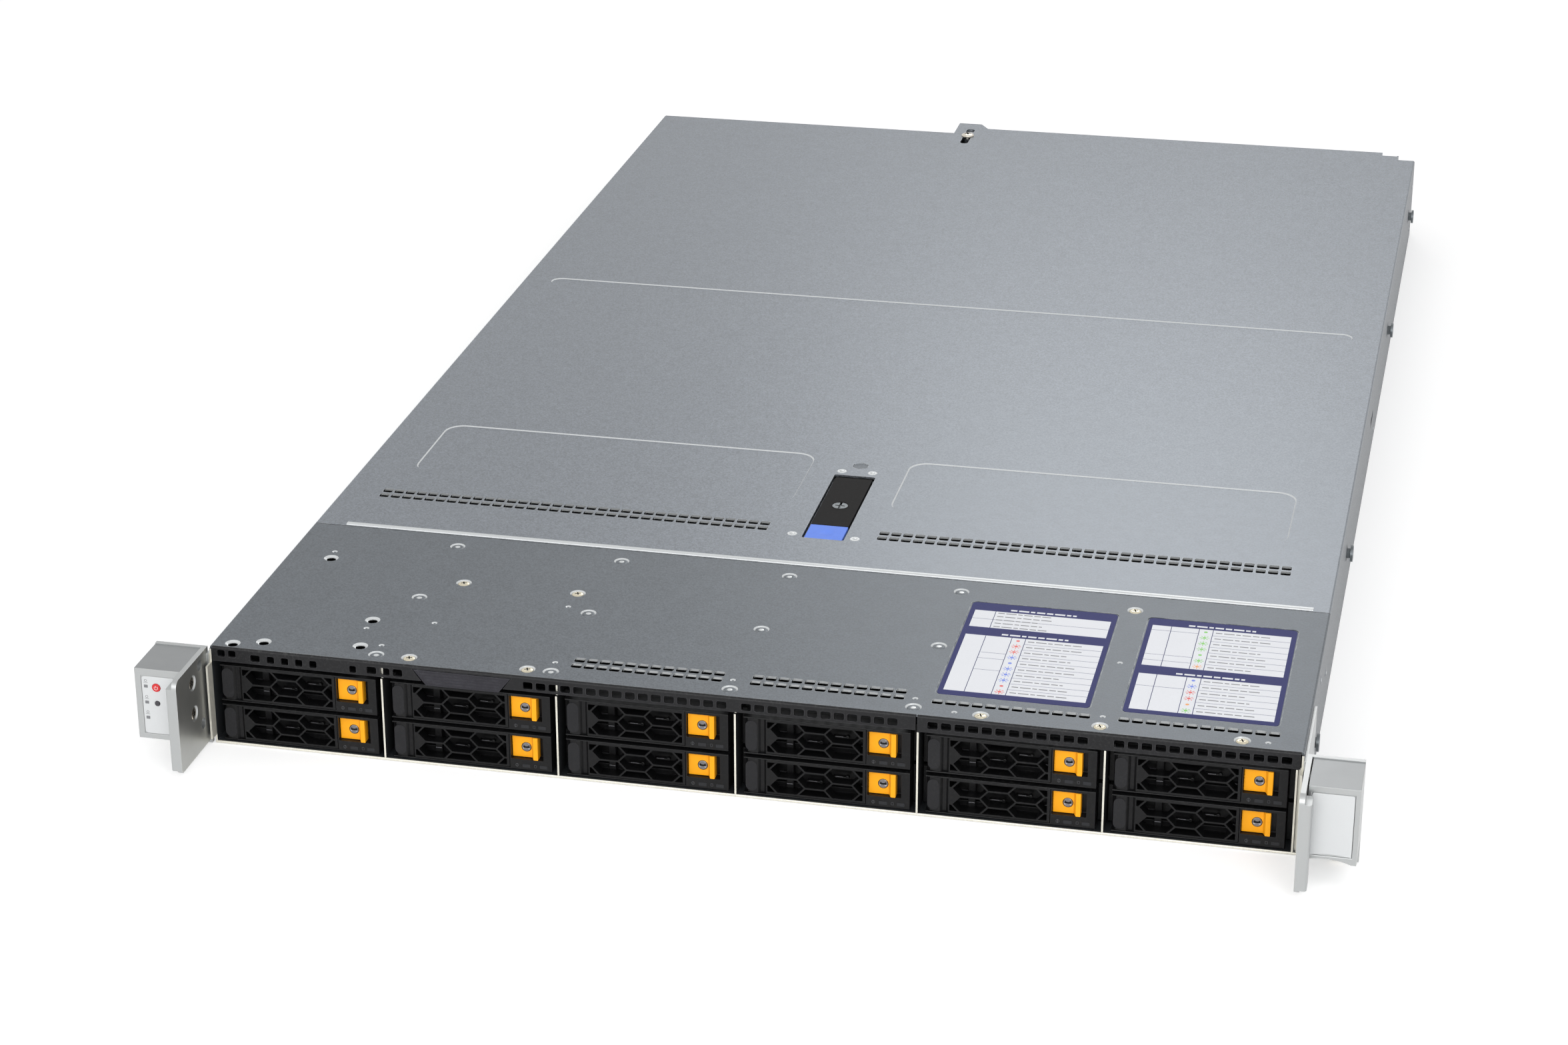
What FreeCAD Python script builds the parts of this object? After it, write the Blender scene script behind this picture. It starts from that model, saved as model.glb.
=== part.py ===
"""1U rack server with twelve hot-swap drive bays: one STEP file for each sub-part.

Frame: X to the right seen from the front, Y to the rear, Z up, in millimetres.
Z = 0 is the underside of the chassis and Y = 0 is the face of the rack post behind the ears.
"""
import FreeCAD
import Part
import math
import os

V = FreeCAD.Vector

# ---- sheet metal and general clearances ------------------------------------------------
SHEET = 1.0             # covers and chassis floor
WALL = 0.8              # side walls
SEAT = 0.3              # gap where a moving piece lies on its seat
RUNNING = 0.06          # radial clearance of a pin or button in its hole
EDGE_R = 0.9            # outside bend of the covers

# ---- drive bays ------------------------------------------------------------------------
COLUMNS = 6
ROWS = 2
DRIVE_W = 69.85         # a 2.5 inch drive
DRIVE_H = 15.0
DRIVE_L = 100.45
RAIL = 0.45             # carrier side rail
BAY_CLEARANCE = 0.85    # both sides of a carrier together
DIVIDER = 0.8
LEDGE = 1.6             # ledge of a divider that carries the upper drives
LEDGE_T = 1.0
TRAY_H = 16.0
TRAY_GAP = 1.6          # between the two rows
HEADER_H = 7.3          # from the upper carriers to the top of the server
CAGE_D = 128.0          # from the front edge to the backplane
TRAY_RECESS = 1.5       # tray faces behind the front edge

# ---- overall ---------------------------------------------------------------------------
BODY_D = 747.0          # side walls, front to rear
REAR_STEP = 10.0        # the expansion side stands out this far at the rear
FRONT_AHEAD = 1.0       # front edge ahead of the rack posts
SIDE_SPACE = 0.2        # from the bay grid to the left wall's outer face
CAGE_MARGIN = 2.4       # from the bay grid to the right wall's outer face

BAY_PITCH = DRIVE_W + 2 * RAIL + BAY_CLEARANCE + DIVIDER
TRAY_PITCH = TRAY_H + TRAY_GAP
BODY_W = COLUMNS * BAY_PITCH + SIDE_SPACE + CAGE_MARGIN
BODY_H = SHEET + SEAT + (ROWS - 1) * TRAY_PITCH + TRAY_H + HEADER_H + SHEET + 0.3
HALF = BODY_W / 2
FRONT_Y = -FRONT_AHEAD
REAR_Y = FRONT_Y + BODY_D
COVER_Z = BODY_H - SHEET        # underside of both covers
GRID_X = -HALF + SIDE_SPACE     # left end of the bay grid
CAGE_TOP = SHEET + SEAT + (ROWS - 1) * TRAY_PITCH + TRAY_H

# ---- tray front ------------------------------------------------------------------------
TRAY_W = 66.35
BEZEL_D = 9.0
BEZEL_BAR = 0.5         # cheeks of the carrier over and under the lever
LEVER_END = 48.75       # right end of the lever, from the left end of the tray
LEVER_D = 5.1
LEVER_GAP = 0.1
BARREL_R = 3.3
PIVOT_X = 3.4
DISH_X0 = 5.75          # hollow for the fingertip between barrel and grille
DISH_X1 = 9.1
DISH_DEPTH = 1.1
DISH_FLAT = 0.7
GRILLE_X0 = 9.5
GRILLE_X1 = 47.6
GRILLE_BAR = 0.9
HEX_PITCH = 11.0        # between columns of the honeycomb
HEX_FLAT = 7.75
HEX_HALF_H = 3.5
HEX_WEB = 0.7
HEX_X0 = 17.45          # first whole column; half a column before it is closed in the middle
HEX_COLUMNS = 4
HOUSING_X0 = 48.95      # latch housing of the carrier
TAB_POCKET_X0 = 49.45
TAB_TRAVEL = 2.0
TAB_W = 11.1
TAB_H = 9.9
TAB_Z = 4.75
TAB_LIP = 1.9
TAB_RECESS = 2.0
TAB_PLATE = 2.0
TAB_SIDE_GAP = 0.15

# ---- covers ----------------------------------------------------------------------------
FRONT_COVER_D = 126.9
COVER_SEAM = 0.5
COVER_TRAVEL = 12.0
COVER_FLANGE_H = 8.0
COVER_FLANGE_GAP = 0.4
BEAD_W = 3.2
BEAD_H = 0.8
VENT_PITCH = 5.2
VENT_W = 4.0
VENT_L = 3.7
LABEL_W = 60.8
LABEL_L = 87.9
LABEL_DEPTH = 0.25
EMBOSS = 0.4
LATCH_X = 0.7
LATCH_Y = 156.8         # front end of the latch opening, from the front edge
LATCH_W = 18.6
LATCH_L = 71.4
PAN_DEPTH = 8.6
LEVER_SIDE = 1.0        # between the cover lever and its pan
COVER_LEVER_T = 4.0
COVER_LEVER_R = 1.6     # round rear edge, about the hinge's axis
BOSS_R = 1.2
PRESS_TAB_L = 14.9
PRESS_TAB_T = 3.4
LOCK_R = 3.4
SLOT_W = 4.6
SLOT_L = 28.0
TAB_X0 = -45.0          # rear tab of the top cover
TAB_X1 = -32.0
TAB_OUT = 20.0

# ---- front trim and service tab --------------------------------------------------------
TRIM_T = 1.0
TRIM_DROP = 6.9
TRIM_SPLIT = 70.7
TRIM_HOLE_PITCH = 5.27
TRIM_HOLE_W = 4.0
TRIM_HOLE_H = 3.1
TRIM_HOLE_TOP = 2.2
CARD_X = -112.3
CARD_W = 34.0
CARD_L = 62.0
CARD_T = 0.8
CARD_TOP_W = 40.6
CARD_LOW_W = 30.0
CARD_FACE_H = 6.6

# ---- ears ------------------------------------------------------------------------------
EAR_GAP = 1.0           # side plate of the ear from the chassis wall
EAR_PLATE = 2.1
EAR_OUT = 22.8          # rack flange beyond the chassis wall
FLANGE_T = 2.0
GRIP_W = 4.7
GRIP_D = 8.0
HANDLE_REACH = 34.0     # front of the grip ahead of the front edge
HANDLE_BOTTOM = 2.6
LEG_L = 46.0
EAR_TOP_R = 3.4
EAR_HOLE_R = 2.1
EAR_HOLE_Y = -10.0
EAR_HOLE_Z = (13.1, 39.0)
EAR_BOX_D = 22.5
EAR_BOX_BOTTOM = 11.6
EAR_BOX_TOP = BODY_H - 0.9
POWER_R = 1.75
SECOND_R = 1.1
BUTTON_TRAVEL = 0.8
RACK_SCREW_OUT = 14.05  # rack screw beyond the chassis wall
RACK_SLOT_R = 2.9
RACK_SLOT_REACH = 4.6   # ends of the slot from its middle, less their rounding
RACK_SCREW_Z = 4.6
RACK_SCREW_R = 2.4
RACK_HEAD_R = 4.35
RACK_HEAD_H = 3.0
RACK_RELIEF_R = 2.0
RACK_RELIEF = 1.0       # neck behind the flange
RACK_THREAD = 11.0
STUD_R = 2.4
STUD_HEAD_R = 3.6
STUD_NECK = 1.4
STUD_HEAD = 1.2
STUD_Z = BODY_H / 2
STUDS_FROM_FRONT = (53.0, 238.6)
STUDS_FROM_REAR = (222.0, 36.0)
SIDE_SLOT_FROM_REAR = 347.0
SIDE_SLOT_L = 16.0
SIDE_SLOT_H = 4.0

# ---- inside ----------------------------------------------------------------------------
BOARD_T = 1.6
BACKPLANE_GAP = 0.4
FAN = 40.0
FAN_L = 56.0
FAN_Y = 172.0
FAN_BORE_R = 18.8
FAN_SIDES = 8
FAN_X = (-186.0, -136.0, -86.0, -36.0, 38.0, 88.0, 138.0, 188.0)
STANDOFF = 4.0
MAIN_Y = 262.0
PSU_W = 73.5
PSU_H = 39.5
PSU_L = 200.0
PSU_X = 2.6             # first supply from the left wall's outer face
PSU_GAP = 0.8
PSU_COUNT = 2
PSU_INLET_X = 6.0
PSU_INLET_Z = 9.0
PSU_INLET_W = 28.0
PSU_INLET_H = 21.0
PSU_INLET_D = 16.0
PSU_LOOP_T = 4.0
PSU_LOOP_D = 22.0
PSU_LEVER_T = 4.0
PSU_LEVER_D = 14.0
POST_R = 3.2            # post of the cover's hold-down screw
HOLD_HEAD_R = 3.6
HOLD_HEAD_H = 1.5
WALL_TAB = 5.0         # wall ahead of the front edge, beside the ear
WALL_TAB_LOW = 4.0
HEAT_SINKS = ((30.0, 40.0), (140.0, 40.0))
SINK_W = 92.0
SINK_L = 78.0
SINK_H = 27.0
FINS = 9
DIMM_PITCH = 9.0
PORT_TOP = 20.6         # upper edge of the sockets' panel
PORTS = ((0.0, 13.2, 5.6), (20.0, 13.2, 5.6), (42.0, 12.0, 8.6), (60.0, 12.0, 8.6), (80.0, 17.0, 8.0))
RISER_MARGIN = 5.0      # frame beside its slots
RISER_SLOT_H = 13.0
RISER_LAP = 2.0         # slot cover beyond the slot, across
RISER_SLOTS = (25.0,), (5.0, 25.0)
RISER_SPLIT = 73.6      # between the two riser frames
SOCKET_D = 16.0
SOCKET_WALL = 1.0


def fy(distance):
    """Place behind the front edge."""
    return FRONT_Y + distance


def box(x0, x1, y0, y1, z0, z1):
    """Box between two corners."""
    return Part.makeBox(x1 - x0, y1 - y0, z1 - z0, V(x0, y0, z0))


def prism(outline, direction):
    """Straight extrusion of a closed outline of points, along a vector."""
    wire = Part.makePolygon([V(*p) for p in outline] + [V(*outline[0])])
    return Part.Face(wire).extrude(V(*direction))


def cylinder(radius, length, base, axis):
    """Round bar from a base point along an axis."""
    return Part.makeCylinder(radius, length, V(*base), V(*axis))


def faceted_bar(sides, radius, length, base, side=1):
    """Bar of few flats along X (side) or upright (side None), for what repeats out of sight."""
    points = []
    for i in range(sides):
        angle = 2 * math.pi * (i + 0.5) / sides
        u = radius * math.cos(angle)
        v = radius * math.sin(angle)
        points.append((base[0], base[1] + u, base[2] + v) if side else (base[0] + u, base[1] + v, base[2]))
    return prism(points, (side * length, 0, 0) if side else (0, 0, length))


def path_solid(edges, direction):
    """Straight extrusion of joined edges."""
    wire = Part.Wire(Part.__sortEdges__(edges))
    return Part.Face(wire).extrude(V(*direction))


def line(a, b):
    """Edge between two points."""
    return Part.LineSegment(V(*a), V(*b)).toShape()


def arc(a, middle, b):
    """Arc through three points."""
    return Part.Arc(V(*a), V(*middle), V(*b)).toShape()


def cut_all(body, tools):
    """Body less a list of separate tools, in one operation."""
    return body.cut(Part.makeCompound(tools))


def fuse_all(shapes):
    """One solid out of touching shapes."""
    return shapes[0].multiFuse(shapes[1:]).removeSplitter()


def mirrored(shape):
    """Copy on the other side of the server."""
    return shape.mirror(V(0, 0, 0), V(1, 0, 0))


def moved(shape, x, y, z):
    """Copy moved by a vector."""
    copy = shape.copy()
    copy.translate(V(x, y, z))
    return copy


def save(name, *solids):
    """Write one node, a single solid or a group of separate ones."""
    shape = solids[0] if len(solids) == 1 else Part.makeCompound(list(solids))
    shape.exportStep(f"parts/{name}.step")


def divider_x(index):
    """Middle of a divider; index 0 is the left wall and COLUMNS the side plate of the cage."""
    return GRID_X + index * BAY_PITCH


def tray_origin(row, column):
    """Left, front, lower corner of a tray face."""
    x = divider_x(column) + (BAY_PITCH - TRAY_W) / 2
    return x, fy(TRAY_RECESS), SHEET + SEAT + row * TRAY_PITCH


# ---- chassis ---------------------------------------------------------------------------
def stud_rows():
    """Places of the rail studs along the side."""
    return [fy(y) for y in STUDS_FROM_FRONT] + [REAR_Y - y for y in STUDS_FROM_REAR]


def chassis_base():
    """Folded floor and side walls, with the post of the hold-down screw."""
    io_x0 = rear_step_x()
    io_x1 = HALF - 9.5
    floor = box(-HALF, HALF, FRONT_Y, REAR_Y, 0, SHEET)
    step = box(io_x0, io_x1, REAR_Y, REAR_Y + REAR_STEP, 0, SHEET)
    left = box(-HALF, -HALF + WALL, FRONT_Y, REAR_Y, 0, COVER_Z - 0.1)
    right = box(HALF - WALL, HALF, FRONT_Y, REAR_Y, 0, COVER_Z - 0.1)
    psu_wall_x = -HALF + PSU_X + PSU_COUNT * (PSU_W + PSU_GAP)
    partition = box(psu_wall_x, psu_wall_x + SHEET, REAR_Y - PSU_L - 8, REAR_Y, 0, COVER_Z - 0.4)
    corner = box(psu_wall_x, io_x0 + SHEET, REAR_Y - SHEET, REAR_Y, 0, COVER_Z - 0.4)
    cheek = box(io_x0, io_x0 + SHEET, REAR_Y - SHEET, REAR_Y + REAR_STEP, 0, COVER_Z - 0.4)
    far_cheek = box(io_x1 - SHEET, io_x1, REAR_Y - SHEET, REAR_Y + REAR_STEP, 0, COVER_Z - 0.4)
    far_corner = box(io_x1 - SHEET, HALF, REAR_Y - SHEET, REAR_Y, 0, COVER_Z - 0.4)
    post = faceted_bar(8, POST_R, COVER_Z - 0.1, (hold_x(), hold_y(), 0), 0)
    tabs = [box(x, x + WALL, FRONT_Y - WALL_TAB, FRONT_Y, WALL_TAB_LOW, BODY_H - TRIM_DROP)
            for x in (-HALF, HALF - WALL)]
    body = fuse_all([floor, step, left, right, partition, corner, cheek, far_cheek, far_corner, post] + tabs)
    front_edges = [e for e in body.Edges
                   if abs(e.CenterOfMass.y - FRONT_Y) < 0.01 and abs(e.CenterOfMass.z - SHEET) < 0.01]
    body = body.makeFillet(0.45, front_edges)
    slot_y = REAR_Y - SIDE_SLOT_FROM_REAR
    slots = [box(side * HALF - 2, side * HALF + 2, slot_y - SIDE_SLOT_L / 2, slot_y + SIDE_SLOT_L / 2,
                 STUD_Z - SIDE_SLOT_H / 2, STUD_Z + SIDE_SLOT_H / 2) for side in (-1, 1)]
    return cut_all(body, slots)


def rear_step_x():
    """Left side of the expansion part of the rear."""
    return TAB_X0 + 0.5


def rear_face():
    """Rear plane of the expansion side."""
    return REAR_Y + REAR_STEP - 0.8


def hold_x():
    """Cover hold-down screw, across."""
    return (TAB_X0 + TAB_X1) / 2 + 2.2


def hold_y():
    """Cover hold-down screw, along."""
    return REAR_Y - 2.0 - 4.0


def side_screw_solids():
    """Headed studs that the slide rails hook on."""
    studs = []
    for side in (-1, 1):
        for y in stud_rows():
            x = side * HALF
            neck = faceted_bar(6, STUD_R, STUD_NECK, (x, y, STUD_Z), side)
            head = cylinder(STUD_HEAD_R, STUD_HEAD, (x + side * STUD_NECK, y, STUD_Z), (side, 0, 0))
            studs.append(fuse_all([neck, head]))
    return studs


def cover_profile(y0, y1):
    """Sheet over the whole width with rounded long edges."""
    top = BODY_H
    low = COVER_Z
    r = EDGE_R
    k = r * (1 - math.sqrt(0.5))
    edges = [
        line((-HALF, y0, low), (HALF, y0, low)),
        line((HALF, y0, low), (HALF, y0, top - r)),
        arc((HALF, y0, top - r), (HALF - k, y0, top - k), (HALF - r, y0, top)),
        line((HALF - r, y0, top), (-HALF + r, y0, top)),
        arc((-HALF + r, y0, top), (-HALF + k, y0, top - k), (-HALF, y0, top - r)),
        line((-HALF, y0, top - r), (-HALF, y0, low)),
    ]
    return path_solid(edges, (0, y1 - y0, 0))


def hole_row(x0, count, y, width, length):
    """Row of rectangular vents through a cover; x0 and y are the first vent's centre."""
    return [box(x0 + i * VENT_PITCH - width / 2, x0 + i * VENT_PITCH + width / 2,
                y - length / 2, y + length / 2, COVER_Z - 1, BODY_H + 1) for i in range(count)]


def front_cover():
    """Fixed cover over the bays: vents and two shallow label places."""
    cover = cover_profile(fy(TRIM_T), fy(FRONT_COVER_D))
    tools = []
    group = (12 - 1) * VENT_PITCH
    for centre in (divider_x(3) - 39.2, divider_x(3) + 33.6):
        for y in (fy(14.3), fy(19.5)):
            tools += hole_row(centre - group / 2, 12, y, VENT_W, VENT_L)
    for centre in (divider_x(5) - 38.7, divider_x(5) + 33.65):
        tools += hole_row(centre - group / 2, 12, fy(13.5), VENT_W, VENT_L)
        tools.append(box(centre - LABEL_W / 2, centre + LABEL_W / 2, fy(20.3), fy(20.3 + LABEL_L),
                         BODY_H - LABEL_DEPTH, BODY_H + 1))
    return cut_all(cover, tools)


def emboss(x0, x1, y0, y1, radius):
    """Tool of a shallow pressed field, its corners turned in three flats."""
    outline = []
    for quarter, (x, y) in enumerate(((x1 - radius, y1 - radius), (x0 + radius, y1 - radius),
                                      (x0 + radius, y0 + radius), (x1 - radius, y0 + radius))):
        for step in range(4):
            angle = math.pi / 2 * (quarter + step / 3)
            outline.append((x + radius * math.cos(angle), y + radius * math.sin(angle), BODY_H - EMBOSS))
    return prism(outline, (0, 0, EMBOSS + 1))


def top_cover_outline():
    """Plan of the top cover, with its stepped rear edge and the slotted tab."""
    front = fy(FRONT_COVER_D + COVER_SEAM)
    rear = REAR_Y - 2.0
    far = REAR_Y + REAR_STEP
    return [(-HALF, front), (HALF, front), (HALF, rear), (HALF - 9.5, rear), (HALF - 9.5, far - 5.5),
            (HALF - 18.5, far - 5.5), (HALF - 18.5, far), (TAB_X1 + 5, far), (TAB_X1, rear + TAB_OUT),
            (TAB_X0, rear + TAB_OUT), (TAB_X0, rear), (-HALF, rear)]


def top_cover():
    """Sliding cover: pressed fields, latch opening, side flanges and a rolled front."""
    outline = [(x, y, COVER_Z - 1) for x, y in top_cover_outline()]
    sheet = cover_profile(fy(FRONT_COVER_D), REAR_Y + REAR_STEP + 20)
    sheet = sheet.common(prism(outline, (0, 0, SHEET + 3)))
    tools = []
    for x0, x1, y0, y1, r in ((-HALF + 22.5, -20.5, 192.5, 250.0, 8.5),
                              (22.0, HALF - 23.0, 192.5, 250.0, 8.5),
                              (-HALF + 14.0, HALF - 13.5, 445.0, 456.0, 5.4)):
        tools.append(emboss(x0, x1, fy(y0), fy(y1), r))
    tools.append(box(LATCH_X - LATCH_W / 2, LATCH_X + LATCH_W / 2, fy(LATCH_Y), fy(LATCH_Y + LATCH_L),
                     COVER_Z - 1, BODY_H + 1))
    slot_y = hold_y() - COVER_TRAVEL - SLOT_W / 2 - SEAT
    tools.append(box(hold_x() - SLOT_W / 2, hold_x() + SLOT_W / 2, slot_y, slot_y + SLOT_L,
                     COVER_Z - 1, BODY_H + 1))
    flange_x = HALF - WALL - COVER_FLANGE_GAP
    flange_end = REAR_Y - COVER_TRAVEL - 3
    flanges = [box(x, x + SHEET, fy(FRONT_COVER_D + 8), flange_end, COVER_Z - COVER_FLANGE_H, COVER_Z)
               for x in (-flange_x, flange_x - SHEET)]
    front = fy(FRONT_COVER_D + COVER_SEAM)
    middle = front + BEAD_W / 2
    bead = path_solid([line((-HALF + 14.2, front, BODY_H), (-HALF + 14.2, front + BEAD_W, BODY_H)),
                       arc((-HALF + 14.2, front + BEAD_W, BODY_H),
                           (-HALF + 14.2, middle, BODY_H + BEAD_H),
                           (-HALF + 14.2, front, BODY_H))], (BODY_W - 21.3, 0, 0))
    body = fuse_all([sheet, bead] + flanges)
    return cut_all(body, tools)


def latch_pan():
    """Recessed pan that the cover latch lies in."""
    x0 = LATCH_X - LATCH_W / 2
    x1 = LATCH_X + LATCH_W / 2
    y0 = fy(LATCH_Y)
    y1 = fy(LATCH_Y + LATCH_L)
    wall = 0.8
    low = COVER_Z - PAN_DEPTH + SHEET
    outside = box(x0 - wall, x1 + wall, y0 - wall, y1 + wall, low - wall, COVER_Z)
    lip = box(x0 - 8, x1 + 8, y0 - 6, y1 + 8, COVER_Z - wall, COVER_Z)
    return outside.fuse(lip).removeSplitter().cut(box(x0, x1, y0, y1, low, COVER_Z + 1))


def cover_lever():
    """Black lever of the cover latch, with its barrel and a blind hole for the lock."""
    x0 = LATCH_X - LATCH_W / 2 + LEVER_SIDE
    length = LATCH_W - 2 * LEVER_SIDE
    y0 = fy(LATCH_Y + PRESS_TAB_L + 0.8)
    y1 = fy(LATCH_Y + LATCH_L - 2.5)
    z1 = BODY_H - 0.2
    z0 = z1 - COVER_LEVER_T
    r = COVER_LEVER_R
    k = r * (1 - math.sqrt(0.5))
    profile = [
        line((x0, y0, z0), (x0, y0, z1)),
        line((x0, y0, z1), (x0, y1, z1)),
        line((x0, y1, z1), (x0, y1, z0 + r)),
        arc((x0, y1, z0 + r), (x0, y1 - k, z0 + k), (x0, y1 - r, z0)),
        line((x0, y1 - r, z0), (x0, y0, z0)),
    ]
    body = path_solid(profile, (length, 0, 0))
    hole = cylinder(LOCK_R + RUNNING, 3, (LATCH_X, lock_y(), z1 - 2.1), (0, 0, 1))
    pivot = (x0, y1 - r, z0 + r)
    boss_l = LEVER_SIDE - SEAT
    bosses = [faceted_bar(12, BOSS_R, boss_l, pivot, -1),
              faceted_bar(12, BOSS_R, boss_l, (x0 + length, pivot[1], pivot[2]), 1)]
    return fuse_all([body] + bosses).cut(hole)


def lock_y():
    """Lock screw, along."""
    return fy(LATCH_Y + 37.8)


def latch_lock():
    """Quarter-turn lock with its screwdriver slot."""
    z1 = BODY_H - 0.2
    body = cylinder(LOCK_R, 2.1 - 0.1, (LATCH_X, lock_y(), z1 - 2.1), (0, 0, 1))
    return body.cut(box(LATCH_X - 0.5, LATCH_X + 0.5, lock_y() - 5, lock_y() + 5, z1 - 0.9, z1 + 1))


def latch_button():
    """Blue press tab in front of the lever."""
    x0 = LATCH_X - LATCH_W / 2 + LEVER_SIDE
    z1 = BODY_H - 0.2
    y0 = fy(LATCH_Y + 0.4)
    return box(x0, x0 + LATCH_W - 2 * LEVER_SIDE, y0, y0 + PRESS_TAB_L, z1 - PRESS_TAB_T, z1)


# ---- front trim and service tab --------------------------------------------------------
def trim_profile(x0, x1, drop):
    """Black strip with a rounded upper edge."""
    y0 = FRONT_Y
    y1 = FRONT_Y + TRIM_T
    top = BODY_H
    r = TRIM_T
    k = r * (1 - math.sqrt(0.5))
    edges = [
        line((x0, y0, top - drop), (x0, y0, top - r)),
        arc((x0, y0, top - r), (x0, y0 + k, top - k), (x0, y1, top)),
        line((x0, y1, top), (x0, y1, top - drop)),
        line((x0, y1, top - drop), (x0, y0, top - drop)),
    ]
    return path_solid(edges, (x1 - x0, 0, 0))


def trim_holes(x0, count, width=TRIM_HOLE_W, pitch=TRIM_HOLE_PITCH, below=TRIM_HOLE_TOP):
    """Row of vents through the trim, from the left side of the first one."""
    z1 = BODY_H - below
    return [box(x0 + i * pitch, x0 + i * pitch + width, FRONT_Y - 1, FRONT_Y + 3, z1 - TRIM_HOLE_H, z1)
            for i in range(count)]


def card_face(clearance, y0, depth):
    """Trapezium of the service tab's face."""
    low = BODY_H - 1.6 - CARD_FACE_H - clearance
    high = BODY_H - 1.6 + clearance
    top = CARD_TOP_W / 2 + clearance
    bottom = CARD_LOW_W / 2 + clearance
    return prism([(CARD_X - bottom, y0, low), (CARD_X + bottom, y0, low),
                  (CARD_X + top, y0, high), (CARD_X - top, y0, high)], (0, depth, 0))


def front_trim():
    """Perforated strip in two parts, with the service tab's opening."""
    holes = trim_holes(divider_x(3) - 70.6, 13) + trim_holes(divider_x(3) + 2.5, 12)
    holes += trim_holes(divider_x(1) - 6.0, 1) + trim_holes(divider_x(1) - 0.4, 2)
    holes += trim_holes(divider_x(2) - 13.5, 3)
    holes += trim_holes(divider_x(1) - 13.3, 1, 2.8, below=2.6)
    holes += trim_holes(-HALF + 3.4, 2, 3.2, 4.6, 1.2)
    holes += trim_holes(-HALF + 17.4, 1) + trim_holes(-HALF + 24.4, 4, 3.1, 6.0)
    holes.append(card_face(0.3, FRONT_Y - 1, 3))
    right_holes = trim_holes(divider_x(4) + 3.7, 12) + trim_holes(divider_x(5) + 3.2, 13)
    left = trim_profile(-HALF + 1.2, TRIM_SPLIT - 0.4, TRIM_DROP - 0.6)
    right = trim_profile(TRIM_SPLIT + 0.4, HALF - 1.2, TRIM_DROP)
    return cut_all(left, holes), cut_all(right, right_holes)


def service_tab():
    """Pull-out card with its sloping face."""
    face = card_face(0, FRONT_Y + 0.1, TRIM_T)
    z1 = BODY_H - SHEET - SEAT - 0.3
    card = box(CARD_X - CARD_W / 2, CARD_X + CARD_W / 2, FRONT_Y + 0.5, FRONT_Y + CARD_L, z1 - CARD_T, z1)
    return fuse_all([face, card])


# ---- drive cage ------------------------------------------------------------------------
def bay_dividers():
    """Dividers with ledges on both sides, the cage's side plate, and the filler strip."""
    ledge_z = SHEET + SEAT + TRAY_H + SEAT
    pieces = []
    trim_low = BODY_H - TRIM_DROP - 0.3
    for index in range(1, COLUMNS + 1):
        x = divider_x(index)
        profile = [(x - DIVIDER / 2, FRONT_Y, SHEET), (x - DIVIDER / 2, fy(CAGE_D), SHEET),
                   (x - DIVIDER / 2, fy(CAGE_D), BODY_H - SHEET - 4), (x - DIVIDER / 2, fy(20), BODY_H - SHEET),
                   (x - DIVIDER / 2, fy(TRIM_T + 0.3), BODY_H - SHEET),
                   (x - DIVIDER / 2, fy(TRIM_T + 0.3), trim_low), (x - DIVIDER / 2, FRONT_Y, trim_low)]
        plate = prism(profile, (DIVIDER, 0, 0))
        reach = LEDGE if index < COLUMNS else 0
        ledge = box(x - DIVIDER / 2 - LEDGE, x + DIVIDER / 2 + reach, fy(14), fy(CAGE_D - 16), ledge_z,
                    ledge_z + LEDGE_T)
        pieces.append(fuse_all([plate, ledge]))
    wall_ledge = box(-HALF + WALL, -HALF + WALL + LEDGE, fy(14), fy(CAGE_D - 16), ledge_z, ledge_z + LEDGE_T)
    side = divider_x(COLUMNS) + DIVIDER / 2
    filler = box(side, HALF - WALL, fy(2.0), fy(3.0), SHEET, trim_low)
    return pieces + [wall_ledge, filler]


# ---- trays -----------------------------------------------------------------------------
def hex_hole(x, z):
    """Stretched hexagonal hole of the honeycomb, along Y."""
    slant = HEX_PITCH - HEX_FLAT
    inset = HEX_WEB / 2 * math.hypot(slant, HEX_HALF_H)
    half_h = HEX_HALF_H - HEX_WEB / 2
    point = HEX_FLAT / 2 + slant - inset / HEX_HALF_H
    flat = point - half_h * slant / HEX_HALF_H
    outline = [(x - point, 0, z), (x - flat, 0, z - half_h), (x + flat, 0, z - half_h),
               (x + point, 0, z), (x + flat, 0, z + half_h), (x - flat, 0, z + half_h)]
    return prism([(px, -1, pz) for px, _, pz in outline], (0, LEVER_D + 2, 0))


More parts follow.
